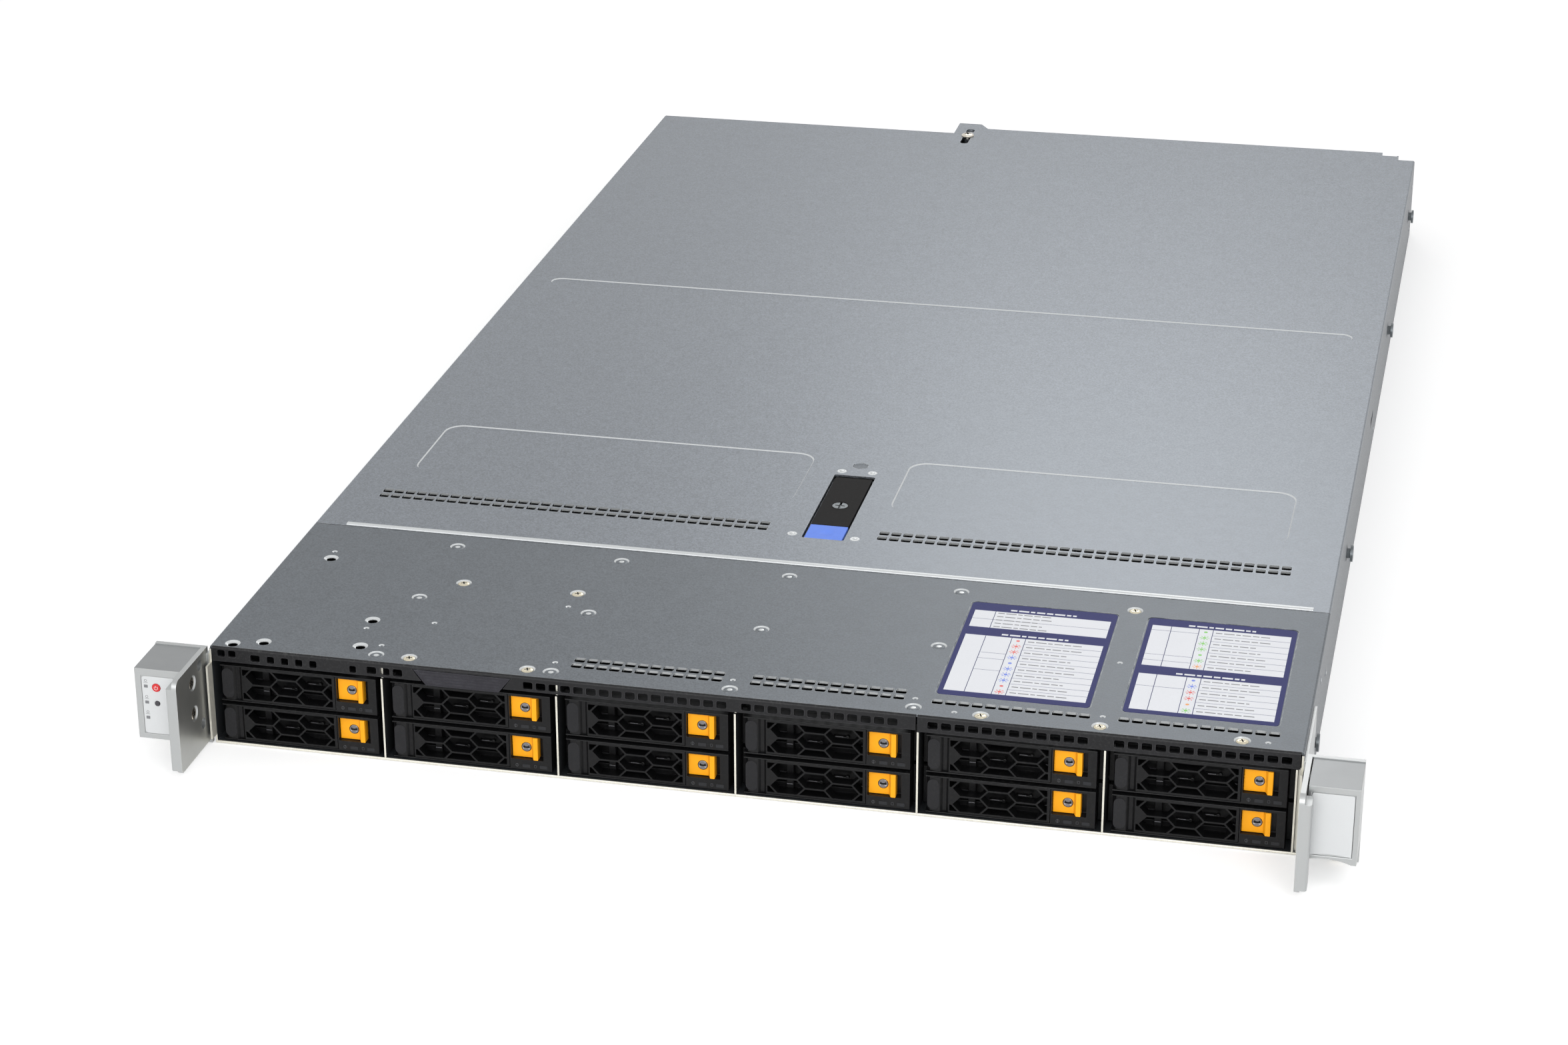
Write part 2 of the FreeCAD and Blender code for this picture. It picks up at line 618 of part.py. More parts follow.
def tray_lever():
    """Tray lever: barrel at the hinge, fingertip hollow and honeycomb grille."""
    z0 = BEZEL_BAR + LEVER_GAP
    height = TRAY_H - 2 * z0
    y0 = 0.1
    back = y0 + 2 * BARREL_R
    dish_x = (DISH_X0 + DISH_X1) / 2
    turn = [math.pi / 2 + math.pi / 4 * i for i in range(3)] + [math.pi + math.pi / 6 * i for i in (1, 2, 3)]
    barrel = [(PIVOT_X + BARREL_R * math.cos(a), y0 + BARREL_R + BARREL_R * math.sin(a)) for a in turn]
    dish = [(DISH_X0, y0), (dish_x - DISH_FLAT, y0 + DISH_DEPTH), (dish_x + DISH_FLAT, y0 + DISH_DEPTH),
            (DISH_X1, y0)]
    rear = [(LEVER_END, y0), (LEVER_END, LEVER_D), (DISH_X1, LEVER_D), (PIVOT_X + 2, back)]
    body = prism([(x, y, z0) for x, y in barrel + dish + rear], (0, 0, height))
    middle = TRAY_H / 2
    window = box(GRILLE_X0, GRILLE_X1, -2, LEVER_D + 2, z0 + GRILLE_BAR, z0 + height - GRILLE_BAR)
    places = []
    for column in range(-1, HEX_COLUMNS):
        x = HEX_X0 + column * HEX_PITCH
        steps = (-1, 1) if column % 2 == 0 else (-2, 0, 2)
        places += [(x, middle + step * HEX_HALF_H) for step in steps]
    places.remove((HEX_X0 - HEX_PITCH, middle))
    holes = [hex_hole(x, z).common(window) for x, z in places]
    return cut_all(body, holes)


def release_tab():
    """Orange tab: recessed plate with a finger lip at its right end."""
    x0 = TAB_POCKET_X0 + TAB_SIDE_GAP
    x1 = x0 + TAB_W
    lip_x = x1 - TAB_LIP
    outline = [(x0, TAB_RECESS, TAB_Z), (lip_x - 1.0, TAB_RECESS, TAB_Z), (lip_x, -0.3, TAB_Z),
               (x1, -0.3, TAB_Z), (x1, TAB_RECESS + TAB_PLATE, TAB_Z), (x0, TAB_RECESS + TAB_PLATE, TAB_Z)]
    return prism(outline, (0, 0, TAB_H))


def carrier_frame():
    """Bezel with two bars and the latch housing, cross plate and side rails."""
    bars = [box(0, TRAY_W, 0, BEZEL_D, z, z + BEZEL_BAR) for z in (0, TRAY_H - BEZEL_BAR)]
    housing = box(HOUSING_X0, TRAY_W, 0, BEZEL_D, 0, TRAY_H)
    half = DRIVE_W / 2 + RAIL
    middle = TRAY_W / 2
    cross = box(middle - half, middle + half, BEZEL_D - 1, BEZEL_D, 0, TRAY_H)
    rails = [box(x, x + RAIL, BEZEL_D - 1, BEZEL_D + 1 + DRIVE_L, 0, 11.0)
             for x in (middle - half, middle + half - RAIL)]
    body = fuse_all(bars + [housing, cross] + rails)
    pocket_x1 = TAB_POCKET_X0 + 2 * TAB_SIDE_GAP + TAB_W + TAB_TRAVEL
    pocket = box(TAB_POCKET_X0, pocket_x1, -1, TAB_RECESS + TAB_PLATE + 0.1, TAB_Z - TAB_SIDE_GAP,
                 TAB_Z + TAB_H + TAB_SIDE_GAP)
    window = box(GRILLE_X0 - 1, HOUSING_X0 - 4, BEZEL_D - 2, BEZEL_D + 1, 2.5, TRAY_H - 2.5)
    return cut_all(body, [pocket, window])


def drive():
    """2.5 inch drive between the rails."""
    x0 = TRAY_W / 2 - DRIVE_W / 2
    z0 = (TRAY_H - DRIVE_H) / 2
    return box(x0, x0 + DRIVE_W, BEZEL_D + 1, BEZEL_D + 1 + DRIVE_L, z0, z0 + DRIVE_H)


# ---- ears ------------------------------------------------------------------------------
def right_ear():
    """Side plate with a thick rounded grip, rack flange, and a leg on the chassis wall."""
    x0 = HALF + EAR_GAP
    x1 = x0 + EAR_PLATE
    front = fy(-HANDLE_REACH)
    top = BODY_H - 0.4
    r = EAR_TOP_R
    k = r * (1 - math.sqrt(0.5))
    rear = 0.0
    profile = [
        line((x0, rear, HANDLE_BOTTOM), (x0, front + 1, HANDLE_BOTTOM)),
        line((x0, front + 1, HANDLE_BOTTOM), (x0, front, HANDLE_BOTTOM + 1)),
        line((x0, front, HANDLE_BOTTOM + 1), (x0, front, top - r)),
        arc((x0, front, top - r), (x0, front + k, top - k), (x0, front + r, top)),
        line((x0, front + r, top), (x0, rear, top)),
        line((x0, rear, top), (x0, rear, HANDLE_BOTTOM)),
    ]
    plate = path_solid(profile, (EAR_PLATE, 0, 0))
    grip = box(x1, x0 + GRIP_W, front, front + GRIP_D, HANDLE_BOTTOM + 1, top - r)
    edges = [e for e in grip.Edges if e.CenterOfMass.x > x0 + GRIP_W - 0.01 and e.Length > GRIP_D + 1]
    grip = grip.makeFillet(1.2, edges)
    flange = box(x0, HALF + EAR_OUT, -FLANGE_T, 0, 0.3, BODY_H - 0.4)
    leg = box(HALF, x0 + 0.2, -FLANGE_T, LEG_L, 3.0, BODY_H - 3.0)
    body = fuse_all([plate, grip, flange, leg])
    screw_x = rack_screw_x()
    turn = [math.pi / 6 * i - math.pi / 2 for i in range(7)]
    ends = [(RACK_SLOT_REACH + RACK_SLOT_R * math.cos(a), RACK_SLOT_R * math.sin(a)) for a in turn]
    slot = prism([(screw_x + side * u, -5, RACK_SCREW_Z + side * v) for side in (1, -1) for u, v in ends],
                 (0, 10, 0))
    holes = [faceted_bar(12, EAR_HOLE_R, EAR_PLATE + 2, (x0 - 1, EAR_HOLE_Y, z)) for z in EAR_HOLE_Z]
    return cut_all(body, [slot] + holes)


def rack_screw_x():
    """Rack screw, across."""
    return HALF + RACK_SCREW_OUT


def ear_box_blank():
    """Housing in front of the right flange, with a concave underside and an inset panel."""
    x0 = HALF + EAR_GAP + EAR_PLATE + 0.4
    x1 = HALF + EAR_OUT
    y1 = -FLANGE_T
    y0 = y1 - EAR_BOX_D
    middle = (x0 + x1) / 2
    edges = [
        line((x0, y0, EAR_BOX_BOTTOM), (x0, y0, EAR_BOX_TOP)),
        line((x0, y0, EAR_BOX_TOP), (x1, y0, EAR_BOX_TOP)),
        line((x1, y0, EAR_BOX_TOP), (x1, y0, EAR_BOX_BOTTOM - 0.8)),
        line((x1, y0, EAR_BOX_BOTTOM - 0.8), (x1 - 2, y0, EAR_BOX_BOTTOM - 0.8)),
        arc((x1 - 2, y0, EAR_BOX_BOTTOM - 0.8), (middle, y0, EAR_BOX_BOTTOM + 0.9),
            (x0, y0, EAR_BOX_BOTTOM)),
    ]
    body = path_solid(edges, (0, EAR_BOX_D, 0))
    panel = box(x0 + 1.3, x1 - 1.9, y0 - 1, y0 + 0.5, EAR_BOX_BOTTOM + 2.2, EAR_BOX_TOP - 2.6)
    return body.cut(panel)


def button_places():
    """Centre across, height and radius of the two buttons of the control box."""
    x = -(HALF + 13.9)
    top = EAR_BOX_TOP
    return ((x, top - 8.0, POWER_R), (x, top - 15.0, SECOND_R))


def control_box():
    """Housing in front of the left flange, with two button bores and the lamp windows."""
    x1 = -(HALF + EAR_GAP + EAR_PLATE + 0.4)
    x0 = -(HALF + EAR_OUT)
    y1 = -FLANGE_T
    y0 = y1 - EAR_BOX_D
    body = box(x0, x1, y0, y1, EAR_BOX_BOTTOM, EAR_BOX_TOP)
    tools = [box(x0 + 2.6, x1 - 1.8, y0 - 1, y0 + 0.3, EAR_BOX_BOTTOM + 2.2, EAR_BOX_TOP - 3.0)]
    for x, z, r in button_places():
        tools.append(cylinder(r + RUNNING, 6.3, (x, y0, z), (0, 1, 0)))
    return cut_all(body, tools)


def button(x, z, radius):
    """Round button that stands a little out of its bore."""
    y0 = -FLANGE_T - EAR_BOX_D - 0.4
    return cylinder(radius, 5.0, (x, y0, z), (0, 1, 0))


def rack_screw(x):
    """Screw through the slot of a flange, its neck thinner than its thread."""
    head = cylinder(RACK_HEAD_R, RACK_HEAD_H, (x, -FLANGE_T - RACK_HEAD_H, RACK_SCREW_Z), (0, 1, 0))
    turn = [math.pi / 4 * (i + 0.5) for i in range(8)]
    relief = prism([(x + RACK_RELIEF_R * math.cos(a), -FLANGE_T - 0.1, RACK_SCREW_Z + RACK_RELIEF_R * math.sin(a))
                    for a in turn], (0, FLANGE_T + RACK_RELIEF + 0.2, 0))
    thread = cylinder(RACK_SCREW_R, RACK_THREAD, (x, RACK_RELIEF, RACK_SCREW_Z), (0, 1, 0))
    return fuse_all([head, relief, thread])


def hold_down_screw():
    """Screw that holds the rear tab of the top cover."""
    base = COVER_Z - 0.1
    head = faceted_bar(16, HOLD_HEAD_R, HOLD_HEAD_H, (hold_x(), hold_y(), BODY_H + 0.1), 0)
    shank = faceted_bar(8, 1.9, BODY_H + 0.2 - base, (hold_x(), hold_y(), base), 0)
    return fuse_all([head, shank])


# ---- inside and rear -------------------------------------------------------------------


def ports():
    """Rear sockets of the mainboard: low and high corner of each opening, X and Z."""
    low = SHEET + STANDOFF + BOARD_T + SOCKET_WALL
    x0 = TAB_X1 + 3
    return [(x0 + place, x0 + place + width, low, low + height) for place, width, height in PORTS]


def drive_backplane():
    """Board behind the bays, with a receptacle for each drive."""
    y0 = fy(CAGE_D)
    board = box(-HALF + WALL + 0.4, divider_x(COLUMNS), y0, y0 + BOARD_T, SHEET + 0.6, CAGE_TOP + 1)
    drive_end = fy(TRAY_RECESS) + BEZEL_D + 1 + DRIVE_L
    solids = [board]
    for row in range(ROWS):
        for column in range(COLUMNS):
            x, _, z = tray_origin(row, column)
            solids.append(box(x + 18, x + 50, drive_end + BACKPLANE_GAP, y0, z + 4, z + 11))
    return solids


def fan(x):
    """Housing of a 40 mm double-length fan with its duct."""
    y0 = fy(FAN_Y)
    body = box(x - FAN / 2, x + FAN / 2, y0, y0 + FAN_L, SHEET, SHEET + FAN)
    centre = SHEET + FAN / 2
    bore = [(x + FAN_BORE_R * math.cos(a), y0 - 1, centre + FAN_BORE_R * math.sin(a))
            for a in (2 * math.pi * (i + 0.5) / FAN_SIDES for i in range(FAN_SIDES))]
    return body.cut(prism(bore, (0, FAN_L + 2, 0)))


def fan_places():
    """Fan centres, kept clear of the latch pan and inside the walls."""
    return [x * (HALF - WALL - 4) / 213.7 for x in FAN_X]


def mainboard():
    """Board on its standoffs, heat sinks and memory modules."""
    x0 = TAB_X1 + 1.0
    x1 = HALF - 11.0
    y0 = fy(MAIN_Y)
    y1 = board_rear()
    z0 = SHEET + STANDOFF
    top = z0 + BOARD_T
    board = box(x0, x1, y0, y1, z0, top)
    solids = [board]
    for x in (x0 + 6, (x0 + x1) / 2, x1 - 6):
        for y in (y0 + 8, (y0 + y1) / 2, y1 - 14):
            solids.append(box(x - 3, x + 3, y - 3, y + 3, SHEET, z0))
    for sink_x, sink_y in HEAT_SINKS:
        solids.append(heat_sink(sink_x - SINK_W / 2, y0 + sink_y, top))
    for bank_y in (y0 + 40 + SINK_L + 14, y0 + 40 + SINK_L + 110):
        for i in range(8):
            x = 0.0 + i * DIMM_PITCH
            solids.append(box(x, x + 3.6, bank_y, bank_y + 88, top, top + 30))
    return solids


def rear_sockets():
    """Shell of each rear socket, on the board and closed at its inner end."""
    y1 = board_rear()
    top = SHEET + STANDOFF + BOARD_T
    shells = []
    for x0, x1, z0, z1 in ports():
        shell = box(x0 - SOCKET_WALL, x1 + SOCKET_WALL, y1 - SOCKET_D, y1, top, z1 + SOCKET_WALL)
        shells.append(shell.cut(box(x0, x1, y1 - SOCKET_D + 2, y1 + 1, z0, z1)))
    return shells


def board_rear():
    """Rear edge of the mainboard."""
    return rear_face() - 2 * SHEET - SEAT


def port_panel():
    """Sheet around the rear sockets."""
    y1 = rear_face()
    panel = box(rear_step_x() + SHEET, RISER_SPLIT, y1 - SHEET, y1, SHEET, PORT_TOP)
    return cut_all(panel, [box(x0 - SEAT, x1 + SEAT, y1 - 5, y1 + 5, z0 - SEAT, z1 + SEAT)
                           for x0, x1, z0, z1 in ports()])


def heat_sink(x, y, z):
    """Base and fins of a processor cooler."""
    base = box(x, x + SINK_W, y, y + SINK_L, z, z + 5)
    pitch = (SINK_W - 1.5) / (FINS - 1)
    fins = [box(x + i * pitch, x + i * pitch + 1.5, y, y + SINK_L, z + 4, z + SINK_H) for i in range(FINS)]
    return fuse_all([base] + fins)


def psu_origin(index):
    """Left, rear, lower corner of a power supply."""
    return -HALF + PSU_X + index * (PSU_W + PSU_GAP), REAR_Y - 1.0, SHEET + SEAT


def power_supply(index):
    """Power supply with its inlet, loop handle and release lever."""
    x, y, z = psu_origin(index)
    body = box(x, x + PSU_W, y - PSU_L, y, z, z + PSU_H)
    in_x = x + PSU_INLET_X
    in_z = z + PSU_INLET_Z
    inlet = box(in_x, in_x + PSU_INLET_W, y - PSU_INLET_D, y + 1, in_z, in_z + PSU_INLET_H)
    body = body.cut(inlet)
    pins = [box(in_x + PSU_INLET_W * share - 1, in_x + PSU_INLET_W * share + 1, y - PSU_INLET_D - 1, y - 4,
                in_z + 5, in_z + 9) for share in (0.25, 0.5, 0.75)]
    loop_x = in_x + PSU_INLET_W + 5
    loop_low = z + 5
    loop_top = z + PSU_H - 4.5
    loop = box(loop_x, loop_x + PSU_LOOP_T, y, y + PSU_LOOP_D, loop_low, loop_top)
    loop = loop.cut(box(loop_x - 1, loop_x + PSU_LOOP_T + 1, y - 1, y + PSU_LOOP_D - 5,
                        loop_low + 4, loop_top - 4))
    lever_x1 = x + PSU_W - 3.5
    lever_x0 = lever_x1 - PSU_LEVER_T
    lever_z = z + 6
    lever = prism([(lever_x0, y, lever_z), (lever_x1, y, lever_z), (lever_x1, y + PSU_LEVER_D - 2, lever_z),
                   ((lever_x0 + lever_x1) / 2, y + PSU_LEVER_D, lever_z),
                   (lever_x0, y + PSU_LEVER_D - 2, lever_z)], (0, 0, PSU_H - 17.5))
    return fuse_all([body, loop, lever] + pins)


def riser_frame(x0, x1, z0, slots):
    """Sheet frame of a riser with its slot openings."""
    y0 = rear_face() - SHEET
    frame = box(x0, x1, y0, y0 + SHEET, z0, COVER_Z - 0.4)
    flange = box(x0, x1, y0 - 10, y0, COVER_Z - 0.4 - SHEET, COVER_Z - 0.4)
    tools = [box(x0 + RISER_MARGIN, x1 - RISER_MARGIN, y0 - 1, y0 + 2, z, z + RISER_SLOT_H) for z in slots]
    frame = cut_all(frame, tools)
    edge = RISER_MARGIN - RISER_LAP
    covers = [box(x0 + edge, x1 - edge, y0 - 1, y0, z - 1, z + RISER_SLOT_H + 1) for z in slots]
    return fuse_all([frame, flange]), covers


def riser_brackets():
    """Two riser frames with three slot covers."""
    first, first_covers = riser_frame(TAB_X0 + 1.8, RISER_SPLIT - SEAT, PORT_TOP + SEAT, RISER_SLOTS[0])
    second, second_covers = riser_frame(RISER_SPLIT + SEAT, HALF - 10.8, SHEET, RISER_SLOTS[1])
    return [first, second] + first_covers + second_covers


def main():
    """Build every node."""
    os.makedirs("parts", exist_ok=True)
    save("chassis_base", chassis_base())
    save("front_cover", front_cover())
    save("front_trim", *front_trim())
    save("service_tab", service_tab())
    save("bay_dividers", *bay_dividers())
    save("top_cover", top_cover(), latch_pan())
    save("cover_latch", cover_lever())
    save("latch_lock", latch_lock())
    save("latch_button", latch_button())
    save("rail_studs", *side_screw_solids())
    ear = right_ear()
    save("right_ear", ear)
    save("left_ear", mirrored(ear))
    save("right_ear_box", ear_box_blank())
    save("control_box", control_box())
    places = button_places()
    save("power_button", button(*places[0]))
    save("second_button", button(*places[1]))
    save("screws", rack_screw(-rack_screw_x()), rack_screw(rack_screw_x()), hold_down_screw())
    lever = tray_lever()
    tab = release_tab()
    frame = carrier_frame()
    disk = drive()
    for row in range(ROWS):
        for column in range(COLUMNS):
            number = column * ROWS + row + 1
            place = tray_origin(row, column)
            save(f"drive_carrier_{number:02d}", moved(frame, *place), moved(disk, *place))
            save(f"tray_lever_{number:02d}", moved(lever, *place))
            save(f"release_tab_{number:02d}", moved(tab, *place))
    save("drive_backplane", *drive_backplane())
    save("fans", *[fan(x) for x in fan_places()])
    save("mainboard", *mainboard())
    for index in range(PSU_COUNT):
        save(f"power_supply_{index + 1}", power_supply(index))
    save("rear_sockets", *rear_sockets())
    save("rear_panels", port_panel(), *riser_brackets())


main()
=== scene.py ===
"""Visual model of a 1U rack server with twelve hot-swap bays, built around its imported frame."""
import bpy
import bmesh
import logging
import math
from collections.abc import Callable, Sequence
from dataclasses import dataclass, replace
from enum import Enum
from mathutils import Matrix, Vector


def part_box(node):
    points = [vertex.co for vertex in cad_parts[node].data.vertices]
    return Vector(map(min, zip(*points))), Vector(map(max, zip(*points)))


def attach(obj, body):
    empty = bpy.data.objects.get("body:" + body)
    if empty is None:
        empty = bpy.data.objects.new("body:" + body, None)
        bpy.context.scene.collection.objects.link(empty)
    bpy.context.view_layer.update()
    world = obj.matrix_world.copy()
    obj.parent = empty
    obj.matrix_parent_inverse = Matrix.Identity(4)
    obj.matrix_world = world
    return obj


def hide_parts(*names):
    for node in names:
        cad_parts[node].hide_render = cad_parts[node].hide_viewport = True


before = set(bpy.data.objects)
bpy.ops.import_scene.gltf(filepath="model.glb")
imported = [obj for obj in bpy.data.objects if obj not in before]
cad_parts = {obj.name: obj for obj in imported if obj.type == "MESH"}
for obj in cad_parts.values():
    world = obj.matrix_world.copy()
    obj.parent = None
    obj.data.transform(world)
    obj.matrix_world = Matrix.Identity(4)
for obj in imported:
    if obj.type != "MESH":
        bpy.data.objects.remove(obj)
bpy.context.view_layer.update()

LOG = logging.getLogger("rack_server")
MM = 0.001
SHARP = math.radians(22)

Point = tuple[float, float, float]
ORIGIN: Point = (0.0, 0.0, 0.0)
UP: Point = (0.0, 0.0, 1.0)
FRONTWARD: Point = (0.0, -1.0, 0.0)


def tone(red: int, green: int, blue: int) -> tuple[float, float, float]:
    """Linear colour of an 8-bit display colour."""
    parts = [c / 255 for c in (red, green, blue)]
    return tuple(c / 12.92 if c <= 0.04045 else ((c + 0.055) / 1.055) ** 2.4 for c in parts)


# ---- finishes --------------------------------------------------------------------------
class Graph:
    """Shader nodes of one material or group, added and joined by socket name."""

    def __init__(self, tree: bpy.types.NodeTree) -> None:
        self.tree = tree

    def add(self, kind: str, inputs: dict | None = None, **settings: object) -> bpy.types.Node:
        """Add one node.

        Args:
            kind: node type.
            inputs: value or source socket for each named or numbered input.
            settings: properties of the node.

        Returns:
            The new node.
        """
        node = self.tree.nodes.new(kind)
        for name, value in settings.items():
            setattr(node, name, value)
        for name, value in (inputs or {}).items():
            if isinstance(value, bpy.types.NodeSocket):
                self.tree.links.new(value, node.inputs[name])
            else:
                node.inputs[name].default_value = value
        return node

    def math(self, operation: str, a: object, b: object = 0.0, clamp: bool = False) -> bpy.types.NodeSocket:
        """Result of a math node on two values or sockets."""
        return self.add("ShaderNodeMath", {0: a, 1: b}, operation=operation, use_clamp=clamp).outputs[0]

    def blend(self, factor: object, a: object, b: object, mode: str = "MIX") -> bpy.types.NodeSocket:
        """Colour between a and b."""
        node = self.add("ShaderNodeMix", {0: factor, 6: a, 7: b}, data_type="RGBA", blend_type=mode)
        return node.outputs[2]

    def ramp(self, value: object, low: float, high: float, out_low: float = 0.0,
             out_high: float = 1.0) -> bpy.types.NodeSocket:
        """Value remapped from one range to another, clamped."""
        node = self.add("ShaderNodeMapRange", {0: value, 1: low, 2: high, 3: out_low, 4: out_high})
        return node.outputs[0]


def new_group(name: str, inputs: dict[str, object], outputs: dict[str, str]) -> tuple[Graph, object, object]:
    """Start a shader node group.

    Args:
        name: group name.
        inputs: default value of each input; a tuple of three is a vector, of four a colour.
        outputs: socket kind of each output.

    Returns:
        The graph, its input node and its output node.
    """
    tree = bpy.data.node_groups.new(name, "ShaderNodeTree")
    for label, value in inputs.items():
        kind = {3: "NodeSocketVector", 4: "NodeSocketColor"}.get(len(value)) if isinstance(value, tuple) \
            else "NodeSocketFloat"
        tree.interface.new_socket(name=label, in_out="INPUT", socket_type=kind).default_value = value
    for label, kind in outputs.items():
        tree.interface.new_socket(name=label, in_out="OUTPUT", socket_type=kind)
    graph = Graph(tree)
    return graph, graph.add("NodeGroupInput"), graph.add("NodeGroupOutput")


def drift_group() -> bpy.types.NodeTree:
    """Slow drift of a colour over the surface, as rolled sheet and moulded plastic have.

    Returns:
        The node group.
    """
    graph, given, made = new_group(
        "colour_drift",
        {"Vector": ORIGIN, "Colour": (0.5, 0.5, 0.5, 1.0), "Size": 0.03, "Amount": 0.1},
        {"Colour": "NodeSocketColor", "Value": "NodeSocketFloat"})
    scale = graph.math("DIVIDE", 1.0, given.outputs["Size"])
    noise = graph.add("ShaderNodeTexNoise", {"Vector": given.outputs["Vector"], "Scale": scale,
                                             "Detail": 4.0, "Roughness": 0.6})
    centred = graph.math("SUBTRACT", noise.outputs[0], 0.5)
    swing = graph.math("MULTIPLY", centred, given.outputs["Amount"])
    gain = graph.math("MULTIPLY_ADD", swing, 3.0)
    gain.node.inputs[2].default_value = 1.0
    scaled = graph.add("ShaderNodeVectorMath", {0: given.outputs["Colour"], "Scale": gain}, operation="SCALE")
    graph.tree.links.new(scaled.outputs[0], made.inputs["Colour"])
    graph.tree.links.new(noise.outputs[0], made.inputs["Value"])
    return graph.tree


def grain_group() -> bpy.types.NodeTree:
    """Fine grain: stretched noise over random flakes.

    Returns:
        The node group.
    """
    graph, given, made = new_group(
        "fine_grain", {"Vector": ORIGIN, "Stretch": (1.0, 1.0, 1.0), "Size": 0.0004, "Flakes": 0.0},
        {"Value": "NodeSocketFloat"})
    scale = graph.math("DIVIDE", 1.0, given.outputs["Size"])
    stretched = graph.add("ShaderNodeVectorMath", {0: given.outputs["Vector"], 1: given.outputs["Stretch"]},
                          operation="MULTIPLY").outputs[0]
    noise = graph.add("ShaderNodeTexNoise", {"Vector": stretched, "Scale": scale, "Detail": 2.0}).outputs[0]
    cells = graph.add("ShaderNodeTexVoronoi", {"Vector": stretched, "Scale": scale})
    flake = graph.add("ShaderNodeSeparateColor", {0: cells.outputs["Color"]}).outputs[0]
    lifted = graph.math("SUBTRACT", flake, noise)
    mixed = graph.math("MULTIPLY_ADD", lifted, given.outputs["Flakes"])
    graph.tree.links.new(noise, mixed.node.inputs[2])
    graph.tree.links.new(mixed, made.inputs["Value"])
    return graph.tree


def wear_group() -> bpy.types.NodeTree:
    """Broken-up mask along outside edges, where paint and zinc rub bright and where the edges get a painted
    highlight.

    Returns:
        The node group.
    """
    graph, given, made = new_group(
        "edge_wear", {"Vector": ORIGIN, "Radius": 0.0004, "Amount": 0.5}, {"Mask": "NodeSocketFloat"})
    rounded = graph.add("ShaderNodeBevel", {"Radius": given.outputs["Radius"]}, samples=4).outputs[0]
    plain = graph.add("ShaderNodeNewGeometry").outputs["Normal"]
    facing = graph.add("ShaderNodeVectorMath", {0: rounded, 1: plain}, operation="DOT_PRODUCT")
    edge = graph.ramp(facing.outputs["Value"], 0.985, 0.86)
    patchy = graph.add("ShaderNodeTexNoise", {"Vector": given.outputs["Vector"], "Scale": 260.0,
                                              "Detail": 3.0}).outputs[0]
    mask = graph.math("MULTIPLY", edge, graph.ramp(patchy, 0.34, 0.6))
    mask = graph.math("MULTIPLY", mask, given.outputs["Amount"], clamp=True)
    graph.tree.links.new(mask, made.inputs["Mask"])
    return graph.tree


def dust_group() -> bpy.types.NodeTree:
    """Mask of light dust and finger marks that lie on upward faces.

    Returns:
        The node group.
    """
    graph, given, made = new_group("settled_dust", {"Vector": ORIGIN, "Amount": 0.2},
                                   {"Mask": "NodeSocketFloat"})
    normal = graph.add("ShaderNodeNewGeometry").outputs["Normal"]
    up = graph.add("ShaderNodeSeparateXYZ", {0: normal}).outputs[2]
    lying = graph.ramp(up, 0.2, 0.9, 0.35, 1.0)
    specks = graph.add("ShaderNodeTexNoise", {"Vector": given.outputs["Vector"], "Scale": 900.0,
                                              "Detail": 5.0, "Roughness": 0.7}).outputs[0]
    smears = graph.add("ShaderNodeTexNoise", {"Vector": given.outputs["Vector"], "Scale": 14.0,
                                              "Detail": 2.0}).outputs[0]
    mask = graph.math("MULTIPLY", graph.ramp(specks, 0.5, 0.72), graph.ramp(smears, 0.4, 0.7, 0.25, 1.0))
    mask = graph.math("MULTIPLY", mask, lying)
    mask = graph.math("MULTIPLY", mask, given.outputs["Amount"], clamp=True)
    graph.tree.links.new(mask, made.inputs["Mask"])
    return graph.tree


@dataclass(frozen=True)
class Finish:
    """One surface finish; sizes in millimetres."""

    name: str
    colour: tuple[float, float, float]
    roughness: float = 0.5
    metallic: float = 0.0
    coat: float = 0.0
    drift: float = 0.08
    drift_size: float = 30.0
    grain: float = 0.12
    grain_size: float = 0.5
    grain_depth: float = 0.01
    stretch: Point = (1.0, 1.0, 1.0)
    flakes: float = 0.0
    # Edge mask: real rubbed wear and a painted edge highlight, with its own colour and width.
    wear: float = 0.3
    wear_colour: tuple[float, float, float] = (0.6, 0.6, 0.58)
    wear_radius: float = 0.4
    dust: float = 0.1
    shine: float = 0.5


def like(base: Finish, name: str, colour: Point, **changes: float | Point) -> Finish:
    """Finish that differs from another one only in what is given."""
    return replace(base, name=name, colour=colour, **changes)


